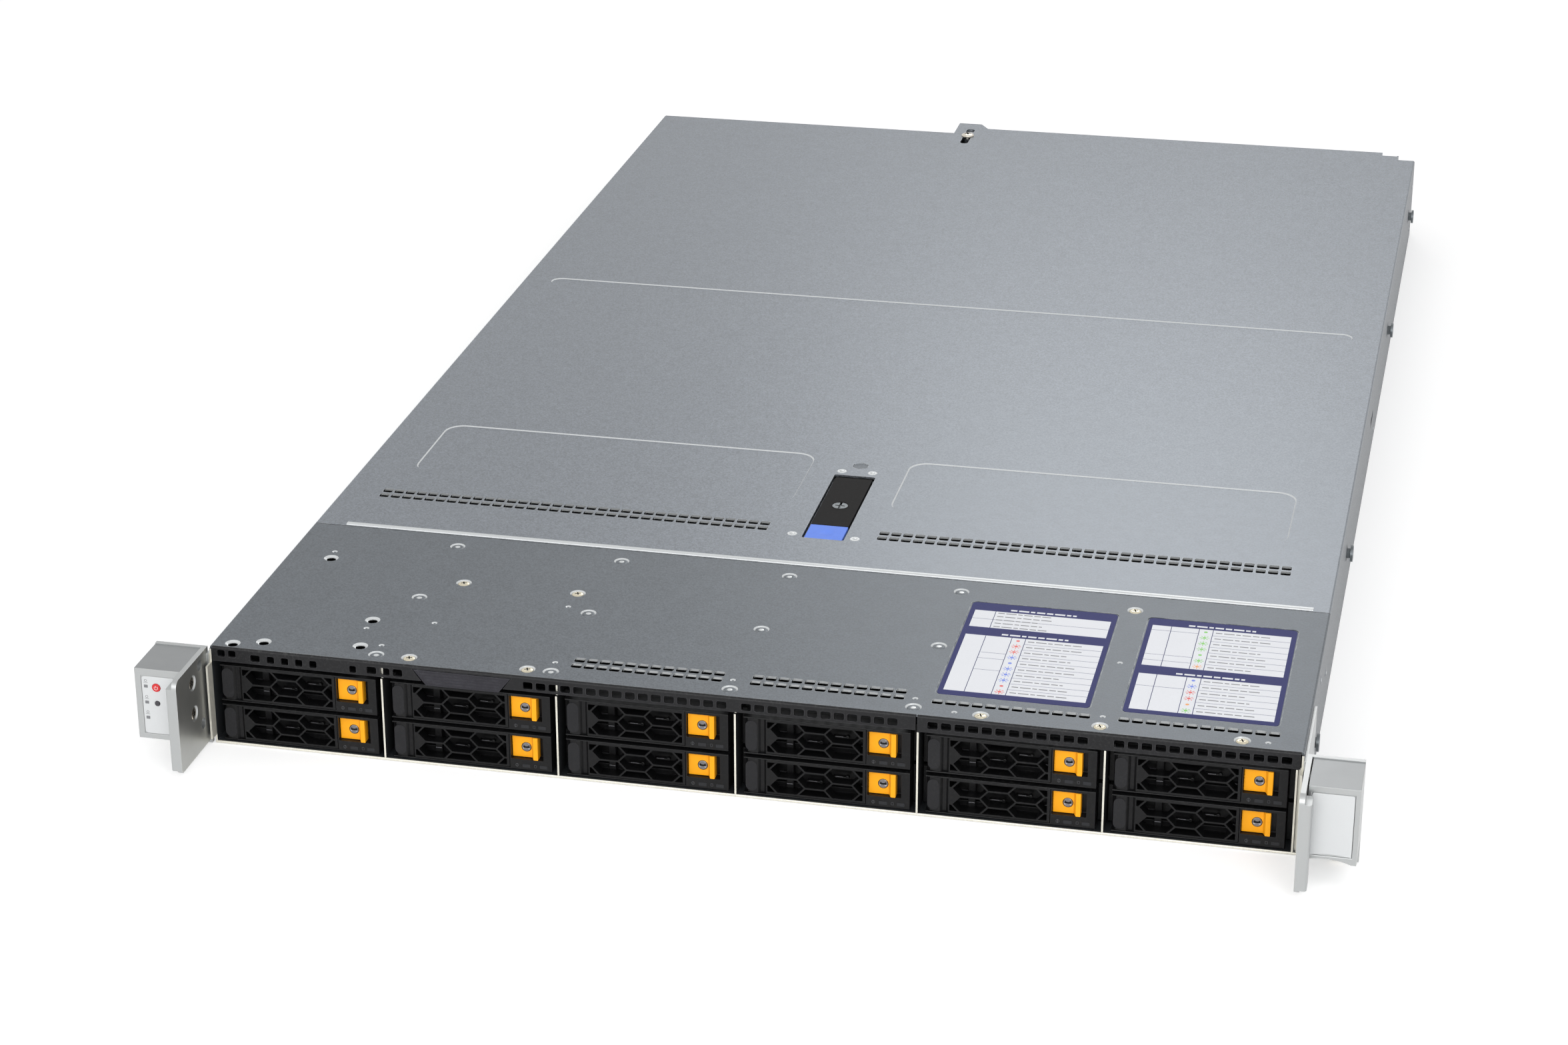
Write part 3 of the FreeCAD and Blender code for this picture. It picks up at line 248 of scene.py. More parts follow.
class Paint(Enum):
    """Every finish of the server."""

    ZINC = Finish("galvanised_sheet", tone(124, 129, 135), 0.38, 0.9, drift=0.05, drift_size=7.0, grain=0.24,
                  grain_size=0.55, grain_depth=0.006, flakes=0.6, wear=0.5, wear_colour=tone(225, 226, 226))
    # Darker copy of the galvanised sheet for the chassis: painted shade.
    ZINC_WALL_SHADE = like(ZINC, "galvanised_wall_painted_shade", tone(96, 100, 105), roughness=0.4, drift=0.06, grain=0.1)
    # Darker sheet of the front cover and its rivets, also painted shade in the top cover's hexagon recess.
    DARK_ZINC_AND_SHADE = like(ZINC, "dark_galvanised_sheet_and_painted_shade", tone(102, 107, 112), roughness=0.44, metallic=0.8,
                     drift=0.06, drift_size=8.0, wear=0.6, wear_colour=tone(214, 216, 217))
    # Painted shade on the bay dividers' side faces.
    SHADED_ZINC = Finish("shaded_sheet", tone(44, 45, 47), 0.5, 0.6, drift=0.2, drift_size=6.0, wear=0.1,
                       wear_colour=tone(120, 120, 122), dust=0.05)
    # Bright cut steel of the front edges, also a painted highlight on them.
    BRIGHT_EDGE_AND_HIGHLIGHT = Finish("cut_steel_edge_and_painted_highlight", tone(222, 219, 207), 0.34, 0.45, drift_size=4.0, grain_size=0.3,
                         stretch=(1.0, 1.0, 0.2), wear=0.4, wear_colour=tone(240, 240, 236))
    BLACK_TRIM = Finish("black_trim", tone(24, 24, 26), 0.4, drift=0.15, drift_size=9.0, grain=0.2,
                        grain_size=0.35, grain_depth=0.012, wear=0.35, wear_colour=tone(110, 110, 114),
                        dust=0.12, shine=0.25)
    LATCH_BLACK = Finish("matt_black_latch", tone(22, 21, 21), 0.6, drift=0.1, drift_size=6.0, grain=0.3,
                         grain_size=0.3, wear=0.2, wear_colour=tone(96, 96, 96), dust=0.05, shine=0.08)
    LOCK = Finish("zinc_lock", tone(112, 117, 120), 0.36, 0.9, drift=0.1, drift_size=3.0, grain=0.15,
                  grain_size=0.25, wear_colour=tone(200, 202, 202), dust=0.05)
    SERVICE_TAB = like(BLACK_TRIM, "slate_plastic", tone(40, 39, 45), roughness=0.36, drift=0.12, wear=0.3,
                       wear_colour=tone(104, 104, 112))
    EAR = Finish("silver_paint", tone(176, 178, 178), 0.36, 0.9, drift=0.02, drift_size=12.0, grain=0.03,
                 grain_size=0.22, grain_depth=0.001, flakes=0.15, wear=0.25, wear_colour=tone(232, 232, 228),
                 dust=0.04)
    # Darker copy of the silver paint for the ears' inner faces: painted shade, with a wide painted highlight
    # along their edges.
    EAR_INNER_SHADE = like(EAR, "silver_paint_inner_painted_shade", tone(170, 171, 168), metallic=0.85, drift=0.12,
                     drift_size=18.0, wear=0.6, wear_colour=tone(220, 220, 214), wear_radius=1.2)
    # Darker, slightly rougher copy of the silver paint for the boxes' upper faces: painted shade.
    EAR_TOP_SHADE = like(EAR, "silver_paint_top_painted_shade", tone(146, 148, 149), roughness=0.4, drift=0.05, drift_size=14.0,
                   grain=0.05, flakes=0.3, wear=0.3, wear_colour=tone(226, 226, 222))
    PANEL = Finish("pale_panel", tone(208, 210, 211), 0.42, 0.3, drift=0.02, grain=0.03, grain_size=0.22,
                   flakes=0.2, wear=0.1, dust=0.03)
    # Bright metal of rivet mandrels and domes, and a painted highlight on pressed rims, vent walls, dishes,
    # fields, the front bead and the latch pan.
    BRIGHT_METAL_AND_HIGHLIGHT = Finish("bright_metal_and_painted_highlight", tone(204, 207, 208), 0.3, 0.5, drift=0.05, grain=0.08, grain_size=0.3,
                 wear=0.2, dust=0.03)
    PIN = Finish("steel_pin", tone(126, 124, 126), 0.3, 1.0, drift=0.1, drift_size=1.5, grain=0.1,
                 grain_size=0.2, wear=0.2, dust=0.0)
    TRAY_MARK = Finish("tray_mark", tone(54, 55, 58), 0.45, drift=0.03, grain=0.05, wear=0.0, dust=0.05)
    NICKEL = Finish("nickel_screw", tone(206, 200, 188), 0.26, 1.0, drift_size=3.0, grain=0.1,
                    grain_size=0.25, wear=0.2, wear_colour=tone(240, 236, 226), dust=0.0)
    BRASSY = like(NICKEL, "warm_nickel_screw", tone(208, 200, 178), roughness=0.24, drift=0.12,
                  drift_size=2.0, wear=0.3, wear_colour=tone(238, 232, 214))
    TRAY = Finish("black_tray_plastic", tone(19, 19, 20), 0.34, drift=0.14, drift_size=6.0, grain=0.16,
                  grain_size=0.22, grain_depth=0.008, wear=0.25, wear_colour=tone(80, 81, 86),
                  wear_radius=0.2, dust=0.06, shine=0.2)
    PAD = Finish("matt_black_pad", tone(34, 34, 36), 0.6, drift=0.1, drift_size=4.0, grain=0.25,
                 grain_size=0.18, grain_depth=0.02, wear=0.15, wear_colour=tone(74, 74, 80), dust=0.06,
                 shine=0.2)
    # Real black parts, and painted shade in vent walls, screw and pin recesses, the lever's cells and on the
    # drive's front behind the grille.
    BLACK_AND_SHADE = Finish("black_and_painted_shade", tone(10, 10, 11), 0.4, drift=0.2, drift_size=5.0, grain=0.2, grain_size=0.4,
                  wear=0.1, wear_colour=tone(50, 48, 46), dust=0.02, shine=0.2)
    ORANGE = Finish("orange_plastic", tone(255, 172, 24), 0.4, drift=0.05, drift_size=5.0, grain=0.06,
                    grain_size=0.25, grain_depth=0.006, wear=0.25, wear_colour=tone(255, 196, 96), dust=0.05,
                    shine=0.25)
    BLUE = Finish("blue_plastic", tone(108, 148, 252), 0.45, drift=0.06, drift_size=6.0, grain=0.08,
                  grain_size=0.3, wear_colour=tone(176, 190, 240), shine=0.2)
    RED = Finish("red_button_plastic", tone(206, 34, 38), 0.35, drift=0.05, drift_size=2.0, grain=0.06,
                 grain_size=0.2, wear=0.2, wear_colour=tone(236, 110, 100), dust=0.05)
    DARK_BUTTON = like(RED, "dark_button_plastic", tone(58, 56, 62), drift=0.06, grain=0.08, wear=0.3,
                       wear_colour=tone(130, 130, 134))
    MARK = Finish("pale_mark", tone(240, 238, 236), drift=0.02, grain=0.04, wear=0.0, dust=0.05)
    GREY_MARK = like(MARK, "grey_mark", tone(120, 121, 124), drift=0.04, grain=0.06)
    # Drive case, kept near black as painted shade inside the chassis.
    DRIVE_AND_SHADE = Finish("dark_drive_case_and_painted_shade", tone(30, 31, 33), 0.5, 0.2, drift_size=8.0, grain_size=0.3, wear=0.2,
                   wear_colour=tone(130, 132, 136))
    # Painted glint on the thin bars behind the grille.
    GLINT = Finish("strut_edge_painted_glint", tone(104, 104, 108), 0.4, 0.6, drift=0.3, drift_size=1.5, grain=0.1,
                   wear=0.0, dust=0.0)
    LAMP = Finish("dark_lamp_window", tone(38, 39, 42), 0.3, drift=0.1, drift_size=1.0, grain=0.1,
                  grain_size=0.2, wear=0.0, dust=0.0, shine=0.25)
    NAVY = Finish("navy_label", tone(44, 48, 104), drift=0.04, drift_size=12.0, grain=0.05, grain_size=0.3,
                  wear=0.0, dust=0.04, shine=0.15)
    PAPER = Finish("label_white", tone(238, 240, 245), 0.45, drift=0.02, drift_size=14.0, grain=0.03,
                   grain_size=0.3, wear=0.0)
    DOT_RED = Finish("red_dot", tone(226, 64, 52), 0.36, grain=0.05, wear=0.0, dust=0.05)
    DOT_BLUE = like(DOT_RED, "blue_dot", tone(82, 118, 226))
    DOT_GREEN = like(DOT_RED, "green_dot", tone(112, 204, 60))
    DOT_ORANGE = like(DOT_RED, "orange_dot", tone(240, 158, 66))
    BOARD = Finish("board_green", tone(22, 84, 52), 0.4, coat=0.3, drift=0.25, drift_size=3.0, grain=0.2,
                   grain_size=0.6, wear_colour=tone(170, 150, 90), dust=0.15)
    ALLOY = Finish("aluminium", tone(196, 198, 202), 0.34, 1.0, drift=0.06, grain_size=0.3,
                   stretch=(1.0, 0.1, 1.0))
    PSU_CASE = Finish("supply_case", tone(182, 184, 186), 0.4, 0.9, drift_size=10.0, flakes=0.5, wear=0.4,
                      wear_colour=tone(226, 226, 224))
    SOCKET_BLUE = Finish("socket_blue", tone(36, 78, 168), 0.4, grain=0.08, wear=0.2, dust=0.05)
    GOLD = Finish("contact_gold", tone(222, 178, 92), 0.28, 1.0, drift_size=2.0, wear=0.0, dust=0.0)
    GREEN_GRIP = Finish("green_grip", tone(70, 120, 84), 0.42, grain=0.08)


class Finishes:
    """Builds each material once, out of the shared groups."""

    def __init__(self) -> None:
        self.groups = {"drift": drift_group(), "grain": grain_group(), "wear": wear_group(),
                       "dust": dust_group()}
        self.made: dict[Paint, bpy.types.Material] = {}

    def place(self, graph: Graph, key: str, inputs: dict) -> bpy.types.Node:
        """Put one shared group into a material with its own values."""
        return graph.add("ShaderNodeGroup", inputs, node_tree=self.groups[key])

    def get(self, paint: Paint) -> bpy.types.Material:
        """Material of a finish.

        Args:
            paint: the finish.

        Returns:
            Its material, built on first use.
        """
        if paint not in self.made:
            self.made[paint] = self.build(paint.value)
        return self.made[paint]

    def all(self, *paints: Paint) -> list[bpy.types.Material]:
        """Materials of several finishes, in their order."""
        return [self.get(paint) for paint in paints]

    def build(self, finish: Finish) -> bpy.types.Material:
        """Make one material.

        Args:
            finish: the finish to turn into nodes.

        Returns:
            The finished material.
        """
        material = bpy.data.materials.new(finish.name)
        material.use_nodes = True
        graph = Graph(material.node_tree)
        shader = material.node_tree.nodes["Principled BSDF"]
        place = graph.add("ShaderNodeTexCoord").outputs["Object"]
        drift = self.place(graph, "drift", {"Vector": place, "Colour": (*finish.colour, 1.0),
                                            "Size": finish.drift_size * MM, "Amount": finish.drift})
        grain = self.place(graph, "grain", {"Vector": place, "Stretch": finish.stretch,
                                            "Size": finish.grain_size * MM,
                                            "Flakes": finish.flakes}).outputs[0]
        shade = graph.ramp(grain, 0.2, 0.8, 1.0 - finish.grain, 1.0 + finish.grain)
        colour = graph.add("ShaderNodeVectorMath", {0: drift.outputs[0], "Scale": shade},
                           operation="SCALE").outputs[0]
        # Rubbed edges and the painted edge highlight share one mask.
        if finish.wear:
            wear = self.place(graph, "wear", {"Vector": place, "Radius": finish.wear_radius * MM,
                                              "Amount": finish.wear}).outputs[0]
            colour = graph.blend(wear, colour, (*finish.wear_colour, 1.0))
        rough = graph.ramp(grain, 0.1, 0.9, max(finish.roughness - 0.07, 0.03), finish.roughness + 0.09)
        if finish.dust:
            dust = self.place(graph, "dust", {"Vector": place, "Amount": finish.dust}).outputs[0]
            colour = graph.blend(dust, colour, (0.5, 0.5, 0.49, 1.0))
            rough = graph.math("MULTIPLY_ADD", dust, 0.5)
            rough.node.inputs[2].default_value = finish.roughness
            lift = graph.ramp(grain, 0.1, 0.9, -0.06, 0.08)
            rough = graph.math("ADD", rough, lift, clamp=True)
        height = graph.math("ADD", graph.math("MULTIPLY", drift.outputs[1], 0.4), grain)
        bump = graph.add("ShaderNodeBump", {"Height": height, "Distance": finish.grain_depth * MM,
                                            "Strength": 0.9})
        links = material.node_tree.links
        links.new(colour, shader.inputs["Base Color"])
        links.new(rough, shader.inputs["Roughness"])
        links.new(bump.outputs[0], shader.inputs["Normal"])
        shader.inputs["Metallic"].default_value = finish.metallic
        shader.inputs["Coat Weight"].default_value = finish.coat
        shader.inputs["Specular IOR Level"].default_value = finish.shine
        shader.inputs["Coat Roughness"].default_value = 0.2
        material.diffuse_color = (*finish.colour, 1.0)
        return material


# ---- mesh building ---------------------------------------------------------------------
def turn_to(direction: Vector) -> Matrix:
    """Rotation that takes Z to a direction."""
    return direction.to_track_quat("Z", "Y").to_matrix().to_4x4()


class Forge:
    """A mesh under construction, in millimetres, that ends as one object of the model."""

    def __init__(self) -> None:
        self.mesh = bmesh.new()

    def take(self, piece: bmesh.types.BMesh, finish: int) -> None:
        """Add a finished shape, with the number of its material.

        Args:
            piece: shape to add, which is let go of.
            finish: number of the material.
        """
        for face in piece.faces:
            face.material_index = finish
        data = bpy.data.meshes.new("shape")
        piece.to_mesh(data)
        piece.free()
        self.mesh.from_mesh(data)
        bpy.data.meshes.remove(data)

    @staticmethod
    def soften(piece: bmesh.types.BMesh, width: float, segments: int = 2, over: float = 35.0) -> None:
        """Round every edge that turns by more than an angle in degrees.

        Args:
            piece: shape to round.
            width: width of the rounding.
            segments: steps across it.
            over: least angle between the faces.
        """
        edges = [e for e in piece.edges if e.is_manifold and e.calc_face_angle(0.0) > math.radians(over)]
        bmesh.ops.bevel(piece, geom=edges, offset=width, offset_type="OFFSET", segments=segments, profile=0.5,
                        affect="EDGES", clamp_overlap=True, material=-1)

    def block(self, low: Point, high: Point, corner: float = 0.0, axis: str = "z", soften: float = 0.0,
              taper: float = 0.0, finish: int = 0) -> None:
        """Box with round corners along one axis and softened rims.

        Args:
            low: lowest corner.
            high: highest corner.
            corner: radius of the four edges along the axis.
            axis: axis that the corner edges run along.
            soften: rounding of every remaining edge.
            taper: how far the lower end along the axis pulls in on each side.
            finish: number of the material.
        """
        size = Vector(high) - Vector(low)
        piece = bmesh.new()
        bmesh.ops.create_cube(piece, size=1.0, matrix=Matrix.Diagonal((*size, 1.0)))
        index = "xyz".index(axis)
        if corner:
            edges = [e for e in piece.edges if abs((e.verts[0].co - e.verts[1].co)[index]) > size[index] / 2]
            bmesh.ops.bevel(piece, geom=edges, offset=corner, offset_type="OFFSET", segments=6, profile=0.5,
                            affect="EDGES", clamp_overlap=True, material=-1)
        if taper:
            lower = [v for v in piece.verts if v.co[index] < 0]
            factors = [1.0 if i == index else 1 - 2 * taper / size[i] for i in range(3)]
            bmesh.ops.scale(piece, vec=Vector(factors), verts=lower)
        if soften:
            self.soften(piece, soften)
        bmesh.ops.translate(piece, vec=(Vector(low) + Vector(high)) / 2, verts=piece.verts)
        self.take(piece, finish)

    def rod(self, base: Point, tip: Point, radius: float, tip_radius: float | None = None, sides: int = 32,
            soften: float = 0.0, finish: int = 0) -> None:
        """Round or many-sided bar between two points, straight or tapered.

        Args:
            base: middle of the first end.
            tip: middle of the other end.
            radius: radius at the base.
            tip_radius: radius at the tip, if it differs.
            sides: sides of the bar.
            soften: rounding of the rims.
            finish: number of the material.
        """
        start, end = Vector(base), Vector(tip)
        piece = bmesh.new()
        place = Matrix.Translation((start + end) / 2) @ turn_to(end - start)
        bmesh.ops.create_cone(piece, cap_ends=True, cap_tris=False, segments=sides, radius1=radius,
                              radius2=radius if tip_radius is None else tip_radius,
                              depth=(end - start).length, matrix=place)
        if soften:
            self.soften(piece, soften)
        self.take(piece, finish)

    def lathe(self, profile: list[tuple[float, float]], centre: Point, direction: Point, steps: int = 36,
              finish: int = 0) -> None:
        """Turned shape.

        Args:
            profile: radius and height of each point, closed on the axis or on itself.
            centre: where height is zero.
            direction: axis.
            steps: sides of the turn.
            finish: number of the material.
        """
        piece = bmesh.new()
        verts = [piece.verts.new((r, 0.0, h)) for r, h in profile]
        edges = [piece.edges.new(pair) for pair in zip(verts, verts[1:])]
        bmesh.ops.spin(piece, geom=verts + edges, cent=ORIGIN, axis=UP, angle=2 * math.pi, steps=steps,
                       use_merge=True)
        bmesh.ops.remove_doubles(piece, verts=piece.verts, dist=1e-4)
        bmesh.ops.recalc_face_normals(piece, faces=piece.faces)
        bmesh.ops.transform(piece, matrix=Matrix.Translation(centre) @ turn_to(Vector(direction)),
                            verts=piece.verts)
        self.take(piece, finish)

    def slab(self, outline: list[Point], depth: Point, soften: float = 0.0, finish: int = 0) -> None:
        """Straight extrusion of a flat outline.

        Args:
            outline: corners in order.
            depth: way and length of the extrusion.
            soften: rounding of the edges.
            finish: number of the material.
        """
        piece = bmesh.new()
        face = piece.faces.new([piece.verts.new(p) for p in outline])
        grown = bmesh.ops.extrude_face_region(piece, geom=[face])
        bmesh.ops.translate(piece, vec=Vector(depth), verts=[g for g in grown["geom"]
                                                             if isinstance(g, bmesh.types.BMVert)])
        bmesh.ops.recalc_face_normals(piece, faces=piece.faces)
        if soften:
            self.soften(piece, soften)
        self.take(piece, finish)

    def ring(self, centre: Point, direction: Point, radius: float, wire: float, steps: int = 40,
             finish: int = 0) -> None:
        """Round wire ring.

        Args:
            centre: middle of the ring.
            direction: axis.
            radius: middle radius.
            wire: radius of the wire.
            steps: sides of the turn.
            finish: number of the material.
        """
        around = [2 * math.pi * i / 8 for i in range(9)]
        self.lathe([(radius + wire * math.cos(a), wire * math.sin(a)) for a in around], centre, direction,
                   steps, finish)

    def copy_of(self, node: str, soften: float = 0.0, segments: int = 2, finish: int = 0) -> None:
        """Refined copy of a CAD node: merged, its flats made whole, its edges rounded.

        Args:
            node: name of the CAD node.
            soften: rounding of its edges.
            segments: steps across the rounding.
            finish: number of the material.
        """
        piece = bmesh.new()
        piece.from_mesh(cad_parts[node].data)
        bmesh.ops.scale(piece, vec=Vector((1, 1, 1)) / MM, verts=piece.verts)
        bmesh.ops.remove_doubles(piece, verts=piece.verts, dist=2e-3)
        bmesh.ops.dissolve_limit(piece, angle_limit=math.radians(1.0), verts=piece.verts, edges=piece.edges)
        if soften:
            self.soften(piece, soften, segments)
        self.take(piece, finish)

    def stamp(self, other: "Forge", places: Sequence[Point]) -> None:
        """Add another shape once at each place.

        Args:
            other: shape to add.
            places: where its origin goes.
        """
        data = bpy.data.meshes.new("stamp")
        other.mesh.to_mesh(data)
        for place in places:
            data.transform(Matrix.Translation(place))
            self.mesh.from_mesh(data)
            data.transform(Matrix.Translation(-Vector(place)))
        bpy.data.meshes.remove(data)

    def scatter(self, other: "Forge", places: Sequence[Point] = (ORIGIN,)) -> None:
        """Add another shape once at each place and let go of it."""
        self.stamp(other, places)
        other.mesh.free()

    def split(self, y: float) -> None:
        """Divide the faces that cross a plane, so that each side can have its own finish."""
        bmesh.ops.bisect_plane(self.mesh, geom=self.mesh.verts[:] + self.mesh.edges[:] + self.mesh.faces[:],
                               plane_co=(0, y, 0), plane_no=(0, 1, 0))

    def turn(self, matrix: Matrix) -> None:
        """Turn or move everything made so far.

        Args:
            matrix: the motion; a mirror keeps the faces outward.
        """
        bmesh.ops.transform(self.mesh, matrix=matrix, verts=self.mesh.verts)
        if matrix.determinant() < 0:
            bmesh.ops.reverse_faces(self.mesh, faces=self.mesh.faces)

    def _loose(self, name: str) -> bpy.types.Object:
        """Object of the present mesh, for a Boolean.

        Args:
            name: name of the object.

        Returns:
            The object, which the caller removes.
        """
        data = bpy.data.meshes.new(name)
        self.mesh.to_mesh(data)
        for _ in range(4):
            data.materials.append(None)
        thing = bpy.data.objects.new(name, data)
        bpy.context.scene.collection.objects.link(thing)
        return thing

    def cut(self, tools: "Forge") -> None:
        """Take a set of separate tools away from the shape.

        Args:
            tools: shapes to take away, which are let go of.
        """
        body, knife = self._loose("body"), tools._loose("knife")
        change = body.modifiers.new("cut", "BOOLEAN")
        change.operation = "DIFFERENCE"
        change.solver = "EXACT"
        change.object = knife
        graph = bpy.context.evaluated_depsgraph_get()
        graph.update()
        result = bpy.data.meshes.new_from_object(body.evaluated_get(graph))
        self.mesh.clear()
        self.mesh.from_mesh(result)
        for thing in (body, knife):
            data = thing.data
            bpy.data.objects.remove(thing)
            bpy.data.meshes.remove(data)
        bpy.data.meshes.remove(result)
        tools.mesh.free()

    def finish(self, name: str, body: str, materials: list[bpy.types.Material], slot: str,
               replaces: tuple[str, ...] = ()) -> bpy.types.Object:
        """Turn the shape into an object of the model.

        Args:
            name: name of the piece.
            body: body that it rides on.
            materials: its materials, in the order of their numbers.
            slot: not used.
            replaces: CAD nodes that it stands for.

        Returns:
            The new object.
        """
        bmesh.ops.scale(self.mesh, vec=Vector((MM, MM, MM)), verts=self.mesh.verts)
        data = bpy.data.meshes.new(name)
        self.mesh.to_mesh(data)
        self.mesh.free()
        for material in materials:
            data.materials.append(material)
        data.shade_smooth()
        data.set_sharp_from_angle(angle=SHARP)
        piece = bpy.data.objects.new(name, data)
        bpy.context.scene.collection.objects.link(piece)
        even = piece.modifiers.new("even_normals", "WEIGHTED_NORMAL")
        even.keep_sharp = True
        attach(piece, body)
        if replaces:
            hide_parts(*replaces)
        LOG.info("%s rides on %s, %d faces", name, body, len(data.polygons))
        return piece


# ---- where things are ------------------------------------------------------------------
GRID_MARGIN = 0.2            # outer face of the left wall to the bay grid


@dataclass(frozen=True)
class Layout:
    """Main places of the server in millimetres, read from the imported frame."""

    half: float
    front: float
    rear: float
    top: float
    cover_low: float

    @staticmethod
    def read() -> "Layout":
        """Take the places from the CAD nodes' boxes.

        Returns:
            The layout.
        """
        low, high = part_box("front_cover")
        return Layout(high.x / MM, low.y / MM - 1.0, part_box("chassis_base")[1].y / MM - 10.0, high.z / MM,
                      low.z / MM)

    def back(self, distance: float) -> float:
        """Place behind the front edge."""
        return self.front + distance

    def on_top(self, x: float, distance: float, drop: float = 0.0) -> Point:
        """Point on the covers' upper face, or a little below it."""
        return x, self.back(distance), self.top - drop


def node_box(node: str) -> tuple[Vector, Vector]:
    """Lowest and highest corner of a CAD node in millimetres."""
    low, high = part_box(node)
    return low / MM, high / MM


@dataclass
class Assembly:
    """Group of pieces that shares the finishes and the layout."""

    book: Finishes
    at: Layout

    def make(self, shape: Forge, name: str, slot: str, paints: tuple[Paint, ...], *nodes: str,
             body: str = "chassis") -> None:
        """Turn a shape into a piece that stands for the given CAD nodes."""
        shape.finish(name, body, self.book.all(*paints), slot, nodes)


def shade(shape: Forge, rule: Callable[[Vector, Vector], int]) -> None:
    """Number the material of each face by a rule on its middle and its normal.

    Args:
        shape: shape to number.
        rule: number of the material for a face's middle and normal.
    """
    shape.mesh.normal_update()
    for face in shape.mesh.faces:
        face.material_index = rule(face.calc_center_median(), face.normal)


def phillips_screw(radius: float, height: float) -> Forge:
    """Domed screw head with a cross recess, upright at the origin.

    Args:
        radius: radius of the head.
        height: height of its dome.

    Returns:
        The head, with its recess in the second material as painted shade.
    """
    head = Forge()
    dome = [(radius * math.cos(a), height * math.sin(a)) for a in (math.radians(9 * i) for i in range(10))]
    head.lathe([(0.0, -0.4), (radius, -0.4)] + dome + [(0.0, height)], ORIGIN, UP, 28)
    arm, half, depth = radius * 0.52, radius * 0.14, radius * 0.42
    for angle in (0.35, 0.35 + math.pi / 2):
        blade = Forge()
        blade.block((-arm, -half, height - depth), (arm, half, height + 1), taper=0.12, finish=1)
        blade.turn(Matrix.Rotation(angle, 4, "Z"))
        head.cut(blade)
    return head


def rivet_head(radius: float, height: float) -> Forge:
    """Blind rivet: flat flange with the bright end of its mandrel in the middle.

    Args:
        radius: radius of the flange.
        height: height of the mandrel.

    Returns:
        The rivet, with its mandrel in the second material.
    """
    head = Forge()
    head.lathe([(0.0, -0.2), (radius, -0.2), (radius, height * 0.2), (radius * 0.85, height * 0.6),
                (radius * 0.55, height * 0.6), (radius * 0.48, height * 0.2), (0.0, height * 0.2)],
               ORIGIN, UP, 28)
    head.lathe([(0.0, 0.0), (radius * 0.42, 0.0), (radius * 0.42, height * 0.8), (radius * 0.3, height),
                (0.0, height)], ORIGIN, UP, 20, finish=1)
    return head


# ---- covers ----------------------------------------------------------------------------
def roll_sides(sheet: Forge, at: Layout, radius: float) -> None:
    """Round the long upper edges, where a cover is folded down.

    Args:
        sheet: plate of the cover.
        at: layout.
        radius: bend radius.
    """
    edges = [e for e in sheet.mesh.edges if abs(e.verts[0].co.x - e.verts[1].co.x) < 0.1
             and all(v.co.z > at.top - 0.1 and abs(abs(v.co.x) - at.half) < 0.1 for v in e.verts)]
    bmesh.ops.bevel(sheet.mesh, geom=edges, offset=radius, segments=5, profile=0.5, affect="EDGES",
                    material=-1)


def paint_rim_highlight_and_shade(sheet: Forge) -> None:
    """Keep the painted highlight of a pressed edge only where it faces the front; walls that face elsewhere
    take the third material as painted shade.

    Args:
        sheet: cover whose pressed faces have the second material.
    """
    sheet.mesh.normal_update()
    for face in sheet.mesh.faces:
        if face.material_index != 1:
            continue
        wall = face.normal.z < 0.3
        if face.normal.z > 0.95 or face.normal.y > (-0.2 if wall else 0.25):
            face.material_index = 2 if wall else 0


def add_vents(tools: Forge, at: Layout, half: tuple[float, float], corner: float,
              places: list[Point]) -> None:
    """Add the cutters of a field of rounded vents through a cover; their walls take the second material, a
    painted highlight.

    Args:
        tools: cutters so far.
        at: layout.
        half: half length and half width of a vent.
        corner: corner radius.
        places: middles of the vents.
    """
    vent = Forge()
    vent.block((-half[0], -half[1], at.cover_low - 1), (half[0], half[1], at.top + 1), corner=corner,
               finish=1)
    tools.scatter(vent, places)


@dataclass(frozen=True)
class Table:
    """One table of a legend plate; lengths are shares of the plate or of the table."""

    header: float
    height: float
    columns: tuple[float, ...]
    breaks: tuple[tuple[float, ...], ...]
    signs: str = ""


